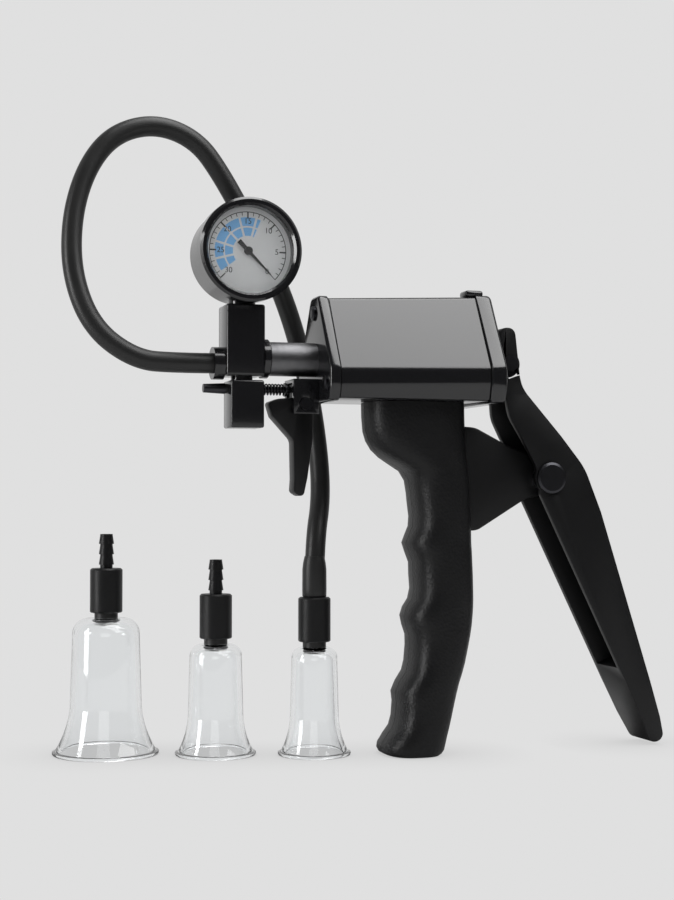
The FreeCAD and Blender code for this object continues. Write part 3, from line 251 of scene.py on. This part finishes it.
def grained_plastic():
    """The grip's own finish: a coarser leather-like grain."""
    look = Look("grained_plastic", (0.004, 0.004, 0.0044), 0.45, IOR=1.37)
    cells = look.add("TexVoronoi", {"feature": "F1"}, Vector=look.coordinates(), Scale=900.0)
    grain = Field(look, cells.outputs["Distance"])
    cloud = look.noise(40, 4)
    look.roughness(cloud * 0.16 + 0.34)
    look.bump(grain, 0.28, 0.0003)
    return look.material


def black_rubber():
    look = Look("black_rubber", (0.012, 0.012, 0.012), 0.45, IOR=1.45)
    skin = look.noise(1400, 3)
    cloud = look.noise(80, 3)
    look.roughness(cloud * 0.2 + 0.32)
    look.bump(skin, 0.12, 0.0002)
    return look.material


def turned_metal(name, color, roughness):
    """Bare metal with fine turning marks."""
    look = Look(name, color, roughness, Metallic=1.0)
    marks = look.noise(260, 2, (3.0, 1.0, 1.0))
    look.roughness(marks * 0.16 + (roughness - 0.08))
    look.bump(marks, 0.02, 0.0001)
    return look.material


def clear_acrylic():
    look = Look("clear_acrylic", (0.97, 0.98, 0.985), 0.02, IOR=1.49, Transmission_Weight=1.0)
    ripple = look.noise(35, 2)
    look.bump(ripple, 0.02, 0.0004)
    return look.material


ENAMEL = gloss_enamel()
SATIN = satin_plastic()
GRAINED = grained_plastic()
RUBBER = black_rubber()
TUBE = turned_metal("dark_tube", (0.16, 0.16, 0.165), 0.42)
STEEL = turned_metal("bright_steel", (0.62, 0.62, 0.64), 0.26)
DARK_STEEL = turned_metal("blackened_steel", (0.05, 0.05, 0.055), 0.34)
BRASS = turned_metal("turned_brass", (0.78, 0.58, 0.27), 0.3)
ALUMINIUM = turned_metal("turned_aluminium", (0.78, 0.78, 0.8), 0.3)
ACRYLIC = clear_acrylic()
print("finishes made:", len(bpy.data.materials))

# %% [markdown]
# ## Hose
# One length of limp black rubber hose, loose in the air. Its line follows the same points as the solid
# hose in the model: out of the nose, up round the gauge and down behind the cylinder to the small cup. It
# could be a swept mesh, but a curve with a round bevel stays smooth in every bend and keeps its length.

# %% Hose
HOSE_RADIUS = 3.75 * MM
PORT = Vector((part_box("manifold_block")[0].x - 4 * MM, 0, 145.7 * MM))
CUP_PORT = Vector((-35.3, 8.5, 59.1)) * MM
HOSE_BENDS = [
    (-105, 1, 146.3), (-120.3, 3.5, 157.5), (-127.4, 7, 177), (-127, 10.5, 199), (-121, 13, 218.3),
    (-110.8, 14.5, 231.3), (-95, 15.5, 236.3), (-79.3, 16.5, 231.3), (-69.2, 17.5, 218.6), (-57, 19, 198),
    (-44.8, 22.5, 177.5), (-34.8, 28, 153), (-28.7, 29, 125), (-28.7, 20.5, 98)]
HOSE_ROUTE = ([PORT, Vector((-90, 0, 145.5)) * MM] + [Vector(bend) * MM for bend in HOSE_BENDS]
              + [CUP_PORT + Vector((0, 0, 20)) * MM, CUP_PORT])


def rubber_hose():
    """The hose as one bevelled spline."""
    curve = bpy.data.curves.new("hose_line", "CURVE")
    curve.dimensions = "3D"
    spline = curve.splines.new("NURBS")
    spline.points.add(len(HOSE_ROUTE) - 1)
    for point, place in zip(spline.points, HOSE_ROUTE):
        point.co = (*place, 1)
    spline.order_u = 3
    spline.use_endpoint_u = True
    spline.resolution_u = 14
    curve.bevel_depth = HOSE_RADIUS
    curve.bevel_resolution = 8
    curve.materials.append(RUBBER)
    hose = bpy.data.objects.new("rubber_hose", curve)
    bpy.context.scene.collection.objects.link(hose)
    return hose


hose = rubber_hose()
print("hose drawn through", len(HOSE_ROUTE), "points")
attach(hose, "pump")
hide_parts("hose")


# %% [markdown]
# ## Helpers for solid pieces
# Nearly every real edge is slightly round and catches a line of light. These helpers turn a bmesh into a
# finished piece, pick out its corners, round them with a bevel, and turn a profile round an axis.


# %% Helpers for solid pieces
def finished(name, bm, look, body="pump", sharp=35):
    """Turn a bmesh into a smooth-shaded piece whose sharp edges stay crisp."""
    bmesh.ops.recalc_face_normals(bm, faces=bm.faces)
    for face in bm.faces:
        face.smooth = True
    for edge in bm.edges:
        edge.smooth = len(edge.link_faces) == 2 and edge.calc_face_angle() < math.radians(sharp)
    mesh = bpy.data.meshes.new(name)
    bm.to_mesh(mesh)
    bm.free()
    mesh.materials.append(look)
    piece = bpy.data.objects.new(name, mesh)
    bpy.context.scene.collection.objects.link(piece)
    if body:
        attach(piece, body)
    return piece


def edges_where(bm, test):
    """Edges whose two faces meet at a corner and that pass a test on their direction and middle."""
    chosen = []
    for edge in bm.edges:
        if len(edge.link_faces) == 2 and edge.calc_face_angle() > math.radians(12):
            along = (edge.verts[1].co - edge.verts[0].co).normalized()
            if test(along, (edge.verts[0].co + edge.verts[1].co) / 2):
                chosen.append(edge)
    return chosen


def round_edges(bm, edges, width, segments=3):
    bmesh.ops.bevel(bm, geom=edges, offset=width, offset_type="OFFSET", segments=segments,
                    profile=0.5, affect="EDGES", clamp_overlap=True, material=-1)


def lathe(bm, profile, axis, centre, steps=64):
    """Spin a profile of (along, radius) pairs round an axis through a centre."""
    side = Vector((0, 0, 1)) if axis.z == 0 else Vector((1, 0, 0))
    verts = [bm.verts.new(centre + axis * (along * MM) + side * (radius * MM))
             for along, radius in profile]
    edges = [bm.edges.new(pair) for pair in zip(verts, verts[1:])]
    bmesh.ops.spin(bm, geom=verts + edges, cent=centre, axis=axis, angle=math.tau, steps=steps,
                   use_merge=True)
    bmesh.ops.remove_doubles(bm, verts=bm.verts, dist=1e-6)


# %% [markdown]
# ## Swollen hose end
# The rubber stretches where it is pushed over the cup's barb. The curve's bevel could be scaled there, but
# a short turned sleeve gives a cleaner shoulder, and it ends flat on the connector as a cut hose does.

# %% Swollen hose end
SLEEVE_PROFILE = [
    (0.1, 3.0), (0.1, 4.3), (0.5, 4.55), (3.0, 4.6), (10.5, 4.55), (13.0, 4.25), (14.6, 3.9), (15.4, 3.72),
    (15.4, 3.2), (14.4, 3.0), (0.1, 3.0)]


def hose_end():
    """The hose stretched over the cup's barb: a soft swelling that ends flat on the connector."""
    bm = bmesh.new()
    lathe(bm, SLEEVE_PROFILE, Vector((0, 0, 1)), CUP_PORT)
    return finished("hose_end", bm, RUBBER, sharp=60)


end_piece = hose_end()

# %% [markdown]
# ## Looks of the carried-over parts
# Screws, pins, washers, cups and everything inside are right as the model has them. They could be made
# again with rounder edges, but at their size nobody would see it, so they keep their shape and get a finish.

# %% Finish the carried-over parts
NODE_LOOKS = {
    "barrel": ENAMEL, "front_cap": ENAMEL, "rear_cap": ENAMEL, "outlet_tube": TUBE, "tube_nut": ENAMEL,
    "manifold_block": ENAMEL, "valve_body": ENAMEL, "trigger_bracket": ENAMEL, "gauge_case": ENAMEL,
    "gauge_bezel": ENAMEL, "hose_fitting": ENAMEL, "grip_shell_left": GRAINED, "grip_shell_right": GRAINED,
    "lever": SATIN, "trigger": SATIN, "large_connector": SATIN, "medium_connector": SATIN, "small_connector": SATIN,
    "front_gasket": RUBBER, "rear_gasket": RUBBER, "inlet_valve": RUBBER, "piston_seal": RUBBER,
    "piston_flap": RUBBER, "valve_seal": RUBBER, "large_cup_washer": RUBBER, "medium_cup_washer": RUBBER,
    "small_cup_washer": RUBBER, "large_cup": ACRYLIC, "medium_cup": ACRYLIC, "small_cup": ACRYLIC,
    "gauge_lens": ACRYLIC, "cylinder_liner": STEEL, "front_cap_screws": DARK_STEEL, "rear_cap_screws": DARK_STEEL,
    "return_spring": STEEL, "piston_rod": STEEL, "piston_nut": STEEL, "rod_pin": DARK_STEEL,
    "lever_pivot_pin": DARK_STEEL, "pivot_washers": STEEL, "grip_screws": DARK_STEEL, "valve_spring": DARK_STEEL,
    "valve_stem": DARK_STEEL, "valve_clip": DARK_STEEL, "trigger_pin": DARK_STEEL, "rod_bush": BRASS,
    "gauge_stem": ENAMEL, "gauge_movement": BRASS, "bourdon_tube": BRASS, "gauge_sector": BRASS,
    "piston": ALUMINIUM, "gauge_needle": SATIN}
for name, finish in NODE_LOOKS.items():
    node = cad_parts[name]
    node.data.materials.clear()
    node.data.materials.append(finish)
print("parts with a finish:", len(NODE_LOOKS))

# %% [markdown]
# ## Cylinder casing
# The casing is a die casting: a narrow ridge, two slopes and a flat belly, a little taller at the rear. It
# could be a box cut to shape, but bevelled boxes pinch where slopes meet. So eight-sided faces stand across
# the cylinder, each with its corners rounded first, and are bridged. The caps step in near their outer face.

# %% Casing
AXIS_Z = 147.8 * MM
FRONT_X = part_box("barrel")[0].x
REAR_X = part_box("barrel")[1].x
CASING_CORNER = 1.3
CAP_CORNER = 1.5


def casing_section(bm, x, grow, climb, corner):
    """One rounded face across the cylinder; climb is 0 at the nose and 1 at the rear."""
    half = [(4.5, 23.05 + 2.45 * climb + grow), (20.5 + grow, -4.7 + 1.6 * climb + grow / 2),
            (20.5 + grow, -10.2 + 1.6 * climb), (18.6 + grow, -15.2 - grow)]
    loop = half + [(-y, z) for y, z in reversed(half)]
    face = bm.faces.new([bm.verts.new((x, y * MM, AXIS_Z + z * MM)) for y, z in loop])
    bmesh.ops.bevel(bm, geom=face.verts[:], offset=corner * MM, offset_type="OFFSET", segments=4,
                    profile=0.5, affect="VERTICES", clamp_overlap=True, material=-1)
    return [edge for edge in bm.edges if all(abs(vert.co.x - x) < 1e-7 for vert in edge.verts)]


def casing_prism(bm, stations):
    """A solid through stations of (place along X, growth, climb, corner rounding)."""
    loops = [casing_section(bm, *station) for station in stations]
    bmesh.ops.delete(bm, geom=bm.faces[:], context="FACES_ONLY")
    for loop, following in zip(loops, loops[1:]):
        bmesh.ops.bridge_loops(bm, edges=loop + following)
    bmesh.ops.holes_fill(bm, edges=loops[0] + loops[-1], sides=0)


def casing():
    bm = bmesh.new()
    casing_prism(bm, [(FRONT_X, 0, 0, CASING_CORNER), (REAR_X, 0, 1, CASING_CORNER)])
    piece = finished("casing", bm, ENAMEL)
    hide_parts("barrel")


def end_cap(name, node, climb, outer, inner):
    """A cap with a rounded outer edge: outer and inner are its faces' places along X."""
    bm = bmesh.new()
    out = math.copysign(MM, outer - inner)
    steps = [(inner, 0.5), (inner + 0.3 * out, 0.8), (outer - 1.2 * out, 0.8), (outer - 0.5 * out, 0.55),
             (outer - 0.12 * out, 0.1), (outer, -0.5)]
    casing_prism(bm, [(x, grow, climb, CAP_CORNER) for x, grow in steps])
    piece = finished(name, bm, ENAMEL)
    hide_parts(node)


casing()
end_cap("nose_cap", "front_cap", 0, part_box("front_cap")[0].x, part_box("front_cap")[1].x)
TAIL_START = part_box("rear_gasket")[1].x
TAIL_THICKNESS = 6.3 * MM
end_cap("tail_cap", "rear_cap", 1, TAIL_START + TAIL_THICKNESS, TAIL_START)
print("casing length in mm:", round((REAR_X - FRONT_X) / MM, 1))

# %% [markdown]
# ## Rear cap's lug
# A small block stands on the ridge of the rear cap. It could be part of the cap's outline, but a block of its
# own with rounded edges is simpler, and the same helper makes the manifold next.


# %% Rear cap's lug
def block(name, low, high, look, width):
    """A box of the pump between two corners, with rounded edges."""
    bm = bmesh.new()
    bmesh.ops.create_cube(bm, size=1)
    low, high = Vector(low), Vector(high)
    bmesh.ops.scale(bm, vec=high - low, verts=bm.verts)
    bmesh.ops.translate(bm, vec=(low + high) / 2, verts=bm.verts)
    round_edges(bm, bm.edges[:], width)
    return finished(name, bm, look)


lug_low = Vector((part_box("rear_cap")[0].x, -3.7 * MM, AXIS_Z + 25.6 * MM))
lug_high = Vector((lug_low.x + 7.2 * MM, 3.7 * MM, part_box("rear_cap")[1].z))
block("rear_cap_lug", lug_low, lug_high, ENAMEL, 1.1 * MM)
print("lug height in mm:", round((lug_high.z - lug_low.z) / MM, 1))

# %% [markdown]
# ## Manifold and valve body
# Two machined blocks, enamelled black: the upper one joins the tube, the gauge and the hose, and the lower
# one holds the release valve. Their holes are hidden by what is screwed into them, so a cube per block with
# rounded edges is enough, and a short turned neck joins the two.

# %% Manifold and valve body
manifold = block("manifold", *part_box("manifold_block"), ENAMEL, 0.9 * MM)
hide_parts("manifold_block")
valve_low, valve_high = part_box("valve_body")
valve_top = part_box("manifold_block")[0].z - 1.5 * MM
valve = block("valve_block", valve_low, (valve_high.x, valve_high.y, valve_top), ENAMEL, 0.8 * MM)
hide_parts("valve_body")


def valve_neck():
    bm = bmesh.new()
    low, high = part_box("manifold_block")
    middle = Vector(((low.x + high.x) / 2, 0, valve_top))
    lathe(bm, [(-0.5, 0), (-0.5, 4), (1.6, 4), (1.6, 0)], Vector((0, 0, 1)), middle)
    return finished("valve_neck", bm, ENAMEL)


valve_neck()
print("valve block height in mm:", round((valve_top - valve_low.z) / MM, 1))

# %% [markdown]
# ## Grip
# The grip is moulded in two halves with a parting line down its front and back. It could be sculpted, but
# its side view is known, so level rings, each a rounded oblong, are bridged from the base up. The finger
# waves come from where the rings' front edges stand. A plane then cuts it into its halves.

# %% Grip
GRIP_HALF = 14.0
OBLONG_POWER = 2.7
PARTING_GAP = 0.12 * MM
GRIP_RINGS = [
    (0.3, -10.2, 9.6), (0.9, -11.3, 10.8), (2.2, -12.0, 11.7), (4.1, -11.7, 12.1), (7.2, -9.6, 12.8),
    (10.2, -7.2, 13.5), (14.0, -6.1, 14.4), (19.4, -5.7, 15.7), (23.2, -6.2, 16.7), (27.0, -4.5, 17.7),
    (30.8, -1.9, 18.9), (34.6, -0.9, 20.0), (40.7, -0.4, 21.4), (44.5, -0.5, 22.2), (48.3, -1.9, 22.9),
    (51.8, -2.7, 23.3), (55.0, -1.6, 23.5), (58.2, 0.6, 23.5), (62.1, 1.5, 23.4), (67.4, 1.1, 23.3),
    (72.0, 1.0, 23.1), (76.0, -0.6, 23.0), (79.4, -1.8, 22.8), (82.6, -0.5, 22.7), (85.7, 0.9, 22.6),
    (89.5, 1.2, 22.5), (94.0, 0.6, 22.3), (98.6, 0.1, 22.1), (103.2, -0.7, 21.8), (106.7, -3.0, 21.6),
    (109.2, -7.2, 21.4), (111.8, -11.4, 21.2), (114.7, -14.6, 21.1), (118.0, -16.7, 20.9), (121.5, -17.8, 20.7),
    (127.0, -18.3, 20.6), (132.4, -18.4, 20.5)]


def grip_ring(bm, height, front, rear, half):
    """One level ring of the grip: a circle pressed into a rounded oblong."""
    ring = bmesh.ops.create_circle(bm, segments=40, radius=1)["verts"]
    length = (rear - front) / 2
    for vert in ring:
        angle = math.atan2(vert.co.y, vert.co.x)
        along, across = math.cos(angle), math.sin(angle)
        press = 2 / OBLONG_POWER
        vert.co = Vector(((front + rear) / 2 + math.copysign(abs(along) ** press, along) * length,
                          math.copysign(abs(across) ** press, across) * half, height)) * MM
    return ring


def whole_grip(bm):
    rings = []
    for height, front, rear in GRIP_RINGS:
        half = GRIP_HALF - (0.9 if height < 1 else 0.3 if height < 2.5 else 0)
        rings.append(grip_ring(bm, height, front, rear, half))
    loops = [[edge for edge in bm.edges if all(vert in set(ring) for vert in edge.verts)]
             for ring in rings]
    for lower, upper in zip(loops, loops[1:]):
        bmesh.ops.bridge_loops(bm, edges=lower + upper)
    bmesh.ops.holes_fill(bm, edges=loops[0] + loops[-1], sides=0)


def grip_half(name, node, side):
    """One moulded half, cut a hair short of the parting plane so that the line shows."""
    bm = bmesh.new()
    whole_grip(bm)
    cut = bmesh.ops.bisect_plane(bm, geom=bm.verts[:] + bm.edges[:] + bm.faces[:], dist=1e-7,
                                 plane_co=(0, side * PARTING_GAP, 0), plane_no=(0, -side, 0), clear_outer=True)
    rim = [item for item in cut["geom_cut"] if isinstance(item, bmesh.types.BMEdge)]
    bmesh.ops.holes_fill(bm, edges=rim, sides=0)
    piece = finished(name, bm, GRAINED, sharp=50)
    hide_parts(node)


grip_half("left_grip", "grip_shell_left", -1)
grip_half("right_grip", "grip_shell_right", 1)
print("grip rings:", len(GRIP_RINGS))

# %% [markdown]
# ## Arm that carries the lever
# A flat arm grows out of the back of the grip and carries the lever's pivot. Its side view is pulled out
# to its thickness with an extrude, because a cube would need many cuts to get the same outline.

# %% Arm that carries the lever
ARM_HALF = 5.5 * MM
ARM_POINTS = [(14, 124), (24.8, 123.3), (38, 116.6), (56.2, 109.7), (55.6, 98.2), (45.6, 96.2),
              (25.3, 84), (14, 84)]


def plate(name, points, half, look, width):
    """A plate with an outline seen from the side, as thick as twice its half, with rounded edges."""
    bm = bmesh.new()
    face = bm.faces.new([bm.verts.new((x * MM, -half, z * MM)) for x, z in points])
    raised = bmesh.ops.extrude_face_region(bm, geom=[face])["geom"]
    moved = [item for item in raised if isinstance(item, bmesh.types.BMVert)]
    bmesh.ops.translate(bm, vec=(0, 2 * half, 0), verts=moved)
    round_edges(bm, edges_where(bm, lambda along, middle: abs(along.y) > 0.9), 2 * width, 3)
    round_edges(bm, edges_where(bm, lambda along, middle: abs(abs(middle.y) - half) < 1e-7), width, 3)
    return finished(name, bm, look)


plate("pivot_arm", ARM_POINTS, ARM_HALF, SATIN, 0.8 * MM)
print("arm thickness in mm:", round(2 * ARM_HALF / MM, 1))

# %% [markdown]
# ## Lever and trigger
# Both are moulded in one piece, and the trigger hangs in a small bracket. They could be modelled anew, but
# their shape in the model is right and only its edges are knife sharp. So each is copied, its loose
# triangles are merged, and its corners are rounded. Round the pin the fork is too thin for that.

# %% Lever and trigger
PIN = Vector((37.7, 0, 147.8)) * MM
THIN_FORK = 8 * MM
CORNER_ANGLE = math.radians(34)
FLAT_ANGLE = math.radians(0.6)


def rounded_copy(name, node, look, width, body, beyond=0):
    """A copy of a part with rounded corners, except those nearer to the rod pin than a distance."""
    bm = bmesh.new()
    bm.from_mesh(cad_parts[node].data)
    bmesh.ops.remove_doubles(bm, verts=bm.verts, dist=1e-6)
    bmesh.ops.dissolve_limit(bm, angle_limit=FLAT_ANGLE, verts=bm.verts, edges=bm.edges)
    before = len(bm.faces)
    sharp = [edge for edge in bm.edges
             if len(edge.link_faces) == 2 and edge.calc_face_angle() > CORNER_ANGLE]
    sharp = [edge for edge in sharp
             if all(((vert.co - PIN) * Vector((1, 0, 1))).length >= beyond for vert in edge.verts)]
    round_edges(bm, sharp, width, 2)
    print(name, "faces", before, "to", len(bm.faces))
    piece = finished(name, bm, look, body, 40)
    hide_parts(node)


rounded_copy("squeeze_lever", "lever", SATIN, 0.45 * MM, "lever", beyond=THIN_FORK)
rounded_copy("release_trigger", "trigger", SATIN, 0.5 * MM, "trigger")
rounded_copy("hinge_bracket", "trigger_bracket", ENAMEL, 0.35 * MM, "pump")

# %% [markdown]
# ## Springs
# A coil spring shortens as its far end moves. Here the coils are a copy of the solid spring, left where it stands
# and attached to no body, and the distance between its two ends is printed.


# %% Springs
def coil_copy(name, node, look, start, end):
    bm = bmesh.new()
    bm.from_mesh(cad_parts[node].data)
    bmesh.ops.remove_doubles(bm, verts=bm.verts, dist=1e-7)
    piece = finished(name, bm, look, body=None, sharp=60)
    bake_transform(piece)
    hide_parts(node)
    print(name, "length in mm:", round((Vector(end) - Vector(start)).length / MM, 1))


def spring_ends(node):
    low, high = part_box(node)
    middle = (low + high) / 2
    return Vector((low.x, middle.y, middle.z)), Vector((high.x, middle.y, middle.z))


valve_fixed, valve_moving = spring_ends("valve_spring")
coil_copy("trigger_spring", "valve_spring", DARK_STEEL, valve_fixed, valve_moving)
return_moving, return_fixed = spring_ends("return_spring")
coil_copy("piston_spring", "return_spring", STEEL, return_fixed, return_moving)


# %% [markdown]
# ## Collars on the rod pin
# The rod's eye is narrower than the lever's fork, so two collars keep it in the middle. They are turned from
# a short profile, and ride with the piston as the pin does. The solid model leaves them out.

# %% Collars on the rod pin
COLLAR_PROFILE = [(3.3, 0), (3.3, 4.9), (3.6, 5.2), (5.6, 5.2), (5.9, 4.9), (5.9, 0)]


def pin_spacers():
    """Two plain collars on the rod pin that keep the rod's eye in the middle of the lever's fork."""
    bm = bmesh.new()
    for side in (-1, 1):
        lathe(bm, COLLAR_PROFILE, Vector((0, side, 0)), PIN)
    return finished("pin_spacers", bm, DARK_STEEL, "piston")


pin_spacers()
print("collars at", [round(part / MM, 1) for part in PIN])

# %% [markdown]
# ## Dial
# The face is printed: a black scale with ticks round three quarters of a circle, and a blue band inside it.
# A picture could carry the print, but arithmetic on the angle and distance from the pointer's centre is
# sharp at any size. The numbers are thin text made into one mesh.

# %% Dial
NEEDLE = Vector((-65.45, -7.0, 186.35)) * MM
SCALE_START = -45
SCALE_TURN = 270
HIGHEST_NUMBER = 30
NUMBER_STEP = 5
PAPER = (0.62, 0.62, 0.62, 1), (0.68, 0.68, 0.68, 1)
PRINT_BLUE = (0.16, 0.42, 0.75, 1)
PRINT_BLACK = (0.012, 0.012, 0.012, 1)


def dial_look():
    look = Look("printed_dial", (0.8, 0.8, 0.8), 0.55)
    x, y, z = look.axes(tuple(NEEDLE))
    radius = (x * x + z * z).math("SQRT") / MM
    turn = (z.math("ARCTAN2", x) * (180 / math.pi) + (360 - SCALE_START)).math("MODULO", 360)
    on_scale = turn.below(SCALE_TURN + 0.7)

    def ring(inner, outer):
        return radius.above(inner) * radius.below(outer)

    def ticks(step, width, inner, outer):
        off = ((turn / step + 0.5).fraction() - 0.5).math("ABSOLUTE") * step * radius
        return off.below(width / 2 * 57.3) * ring(inner, outer)

    long_ticks = ticks(45, 0.55, 11.9, 14.3)
    short_ticks = ticks(9, 0.28, 13.0, 14.3)
    black = (long_ticks + short_ticks + ring(14.2, 14.5)) * on_scale
    band = ring(5.6, 12.4) * turn.above(112) * turn.below(262)
    gaps = ticks(30, 0.8, 5.6, 12.4) + ring(8.6, 9.2)
    blue = band * (1 - gaps.math("MINIMUM", 1))
    paper = look.mix_color(look.noise(300, 3), *PAPER)
    with_blue = look.mix_color(blue, paper, PRINT_BLUE)
    look.color(look.mix_color(black.math("MINIMUM", 1), with_blue, PRINT_BLACK))
    look.bump(look.noise(1500, 2), 0.03, 0.0001)
    return look.material


def dial_numbers():
    """The scale's numbers, as one thin printed piece in front of the dial."""
    bm = bmesh.new()
    numbers = range(0, HIGHEST_NUMBER + 1, NUMBER_STEP)
    for index, number in enumerate(numbers):
        curve = bpy.data.curves.new("number", "FONT")
        curve.body = str(number)
        curve.size = 2.9 * MM
        curve.align_x = "CENTER"
        curve.align_y = "CENTER"
        curve.extrude = 0.03 * MM
        writer = bpy.data.objects.new("number", curve)
        angle = math.radians(SCALE_START + index * SCALE_TURN / (len(numbers) - 1))
        reach = 10.2 if number in (0, 25, 30) else 10.9
        place = NEEDLE + Vector((math.cos(angle) * reach, -0.08, math.sin(angle) * reach)) * MM
        mesh = bpy.data.meshes.new_from_object(writer)
        mesh.transform(Matrix.Translation(place) @ Matrix.Rotation(math.radians(90), 4, "X"))
        bm.from_mesh(mesh)
        bpy.data.objects.remove(writer)
    return finished("dial_numbers", bm, SATIN)


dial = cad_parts["gauge_dial"]
dial.data.materials.clear()
dial.data.materials.append(dial_look())
dial_numbers()
print("dial numbers up to", HIGHEST_NUMBER)

# %% [markdown]
# ## Floor and light
# A pale floor fades into a plain pale background. Black gloss shows only what it mirrors, so one large soft
# lamp above the cylinder is mirrored in the sloping facet, a tall one at the nose draws the grip's front
# edge, and a weak one in front lights the dial. The world is dim in front and pale behind, as in a studio.

# %% Floor and background
BACKGROUND = 0.745
FLOOR_RADIUS = 0.7
PAINTED_SHADOW_REACH = 0.035
WORLD_FRONT = 0.05
WORLD_BEHIND = 0.7


def floor_look():
    """Seen straight, the floor glows in the background's own colour, with a painted shadow that darkens it only
    close under the pump.
    """
    look = Look("pale_floor", (0.55, 0.55, 0.55), 0.9)
    near = look.add("AmbientOcclusion", {"samples": 8}, Distance=PAINTED_SHADOW_REACH)
    # painted shadow: ambient occlusion darkens the floor's glow close under the pump
    painted_shadow = Field(look, near.outputs["AO"]) * 0.3 + 0.7
    glow = look.add("Emission", Color=(BACKGROUND, BACKGROUND, BACKGROUND, 1), Strength=painted_shadow)
    mix = look.add("MixShader", n0=look.seen_through_air_or_glass(), n1=look.shader.outputs[0],
                   n2=glow.outputs[0])
    look.feed(look.tree.nodes["Material Output"].inputs["Surface"], mix.outputs[0])
    return look.material


def pale_floor():
    bm = bmesh.new()
    bmesh.ops.create_circle(bm, cap_ends=True, segments=96, radius=FLOOR_RADIUS)
    mesh = bpy.data.meshes.new("floor")
    bm.to_mesh(mesh)
    bm.free()
    mesh.materials.append(floor_look())
    floor = bpy.data.objects.new("floor", mesh)
    bpy.context.scene.collection.objects.link(floor)
    return floor


def studio_world():
    world = bpy.data.worlds.new("studio")
    world.use_nodes = True
    shading = Shading(world.node_tree)
    world.node_tree.nodes.clear()
    direction = shading.add("TexCoord")
    split = shading.add("SeparateXYZ", n0=direction.outputs["Generated"])
    behind = shading.add("MapRange", Value=split.outputs["Y"], From_Min=-0.2, From_Max=0.95,
                         To_Min=WORLD_FRONT, To_Max=WORLD_BEHIND)
    studio = shading.add("Background", Color=(1, 1, 1, 1), Strength=behind.outputs[0])
    plain = shading.add("Background", Color=(BACKGROUND, BACKGROUND, BACKGROUND, 1))
    mix = shading.add("MixShader", n0=shading.seen_through_air_or_glass(), n1=studio.outputs[0],
                      n2=plain.outputs[0])
    shading.add("OutputWorld", n0=mix.outputs[0])
    bpy.context.scene.world = world


def soft_lamp(name, place, aim, size, power, mirrored=True):
    """A square lamp that points at a place on the pump; unmirrored, no gloss shows it."""
    lamp = bpy.data.objects.new(name, bpy.data.lights.new(name, "AREA"))
    bpy.context.scene.collection.objects.link(lamp)
    lamp.data.shape = "RECTANGLE"
    lamp.data.size, lamp.data.size_y = size
    lamp.data.energy = power
    lamp.visible_glossy = mirrored
    lamp.location = place
    lamp.rotation_euler = (Vector(aim) - Vector(place)).to_track_quat("-Z", "Y").to_euler()


pale_floor()
studio_world()
CYLINDER = Vector((0, 0, 0.15))
KEY_PLACE = CYLINDER + Vector((0.32, -0.26, 0.91)) * 0.75
soft_lamp("key_lamp", KEY_PLACE, CYLINDER, (0.6, 1.0), 8.8)
soft_lamp("front_lamp", (-0.35, -0.9, 0.4), CYLINDER, (0.6, 0.6), 2.5, False)
soft_lamp("nose_lamp", (-1.0, -0.1, 0.2), (0, 0, 0.1), (0.2, 0.9), 6.0)
bpy.context.scene.view_settings.view_transform = "Standard"
print("lamps:", len(bpy.data.lights))
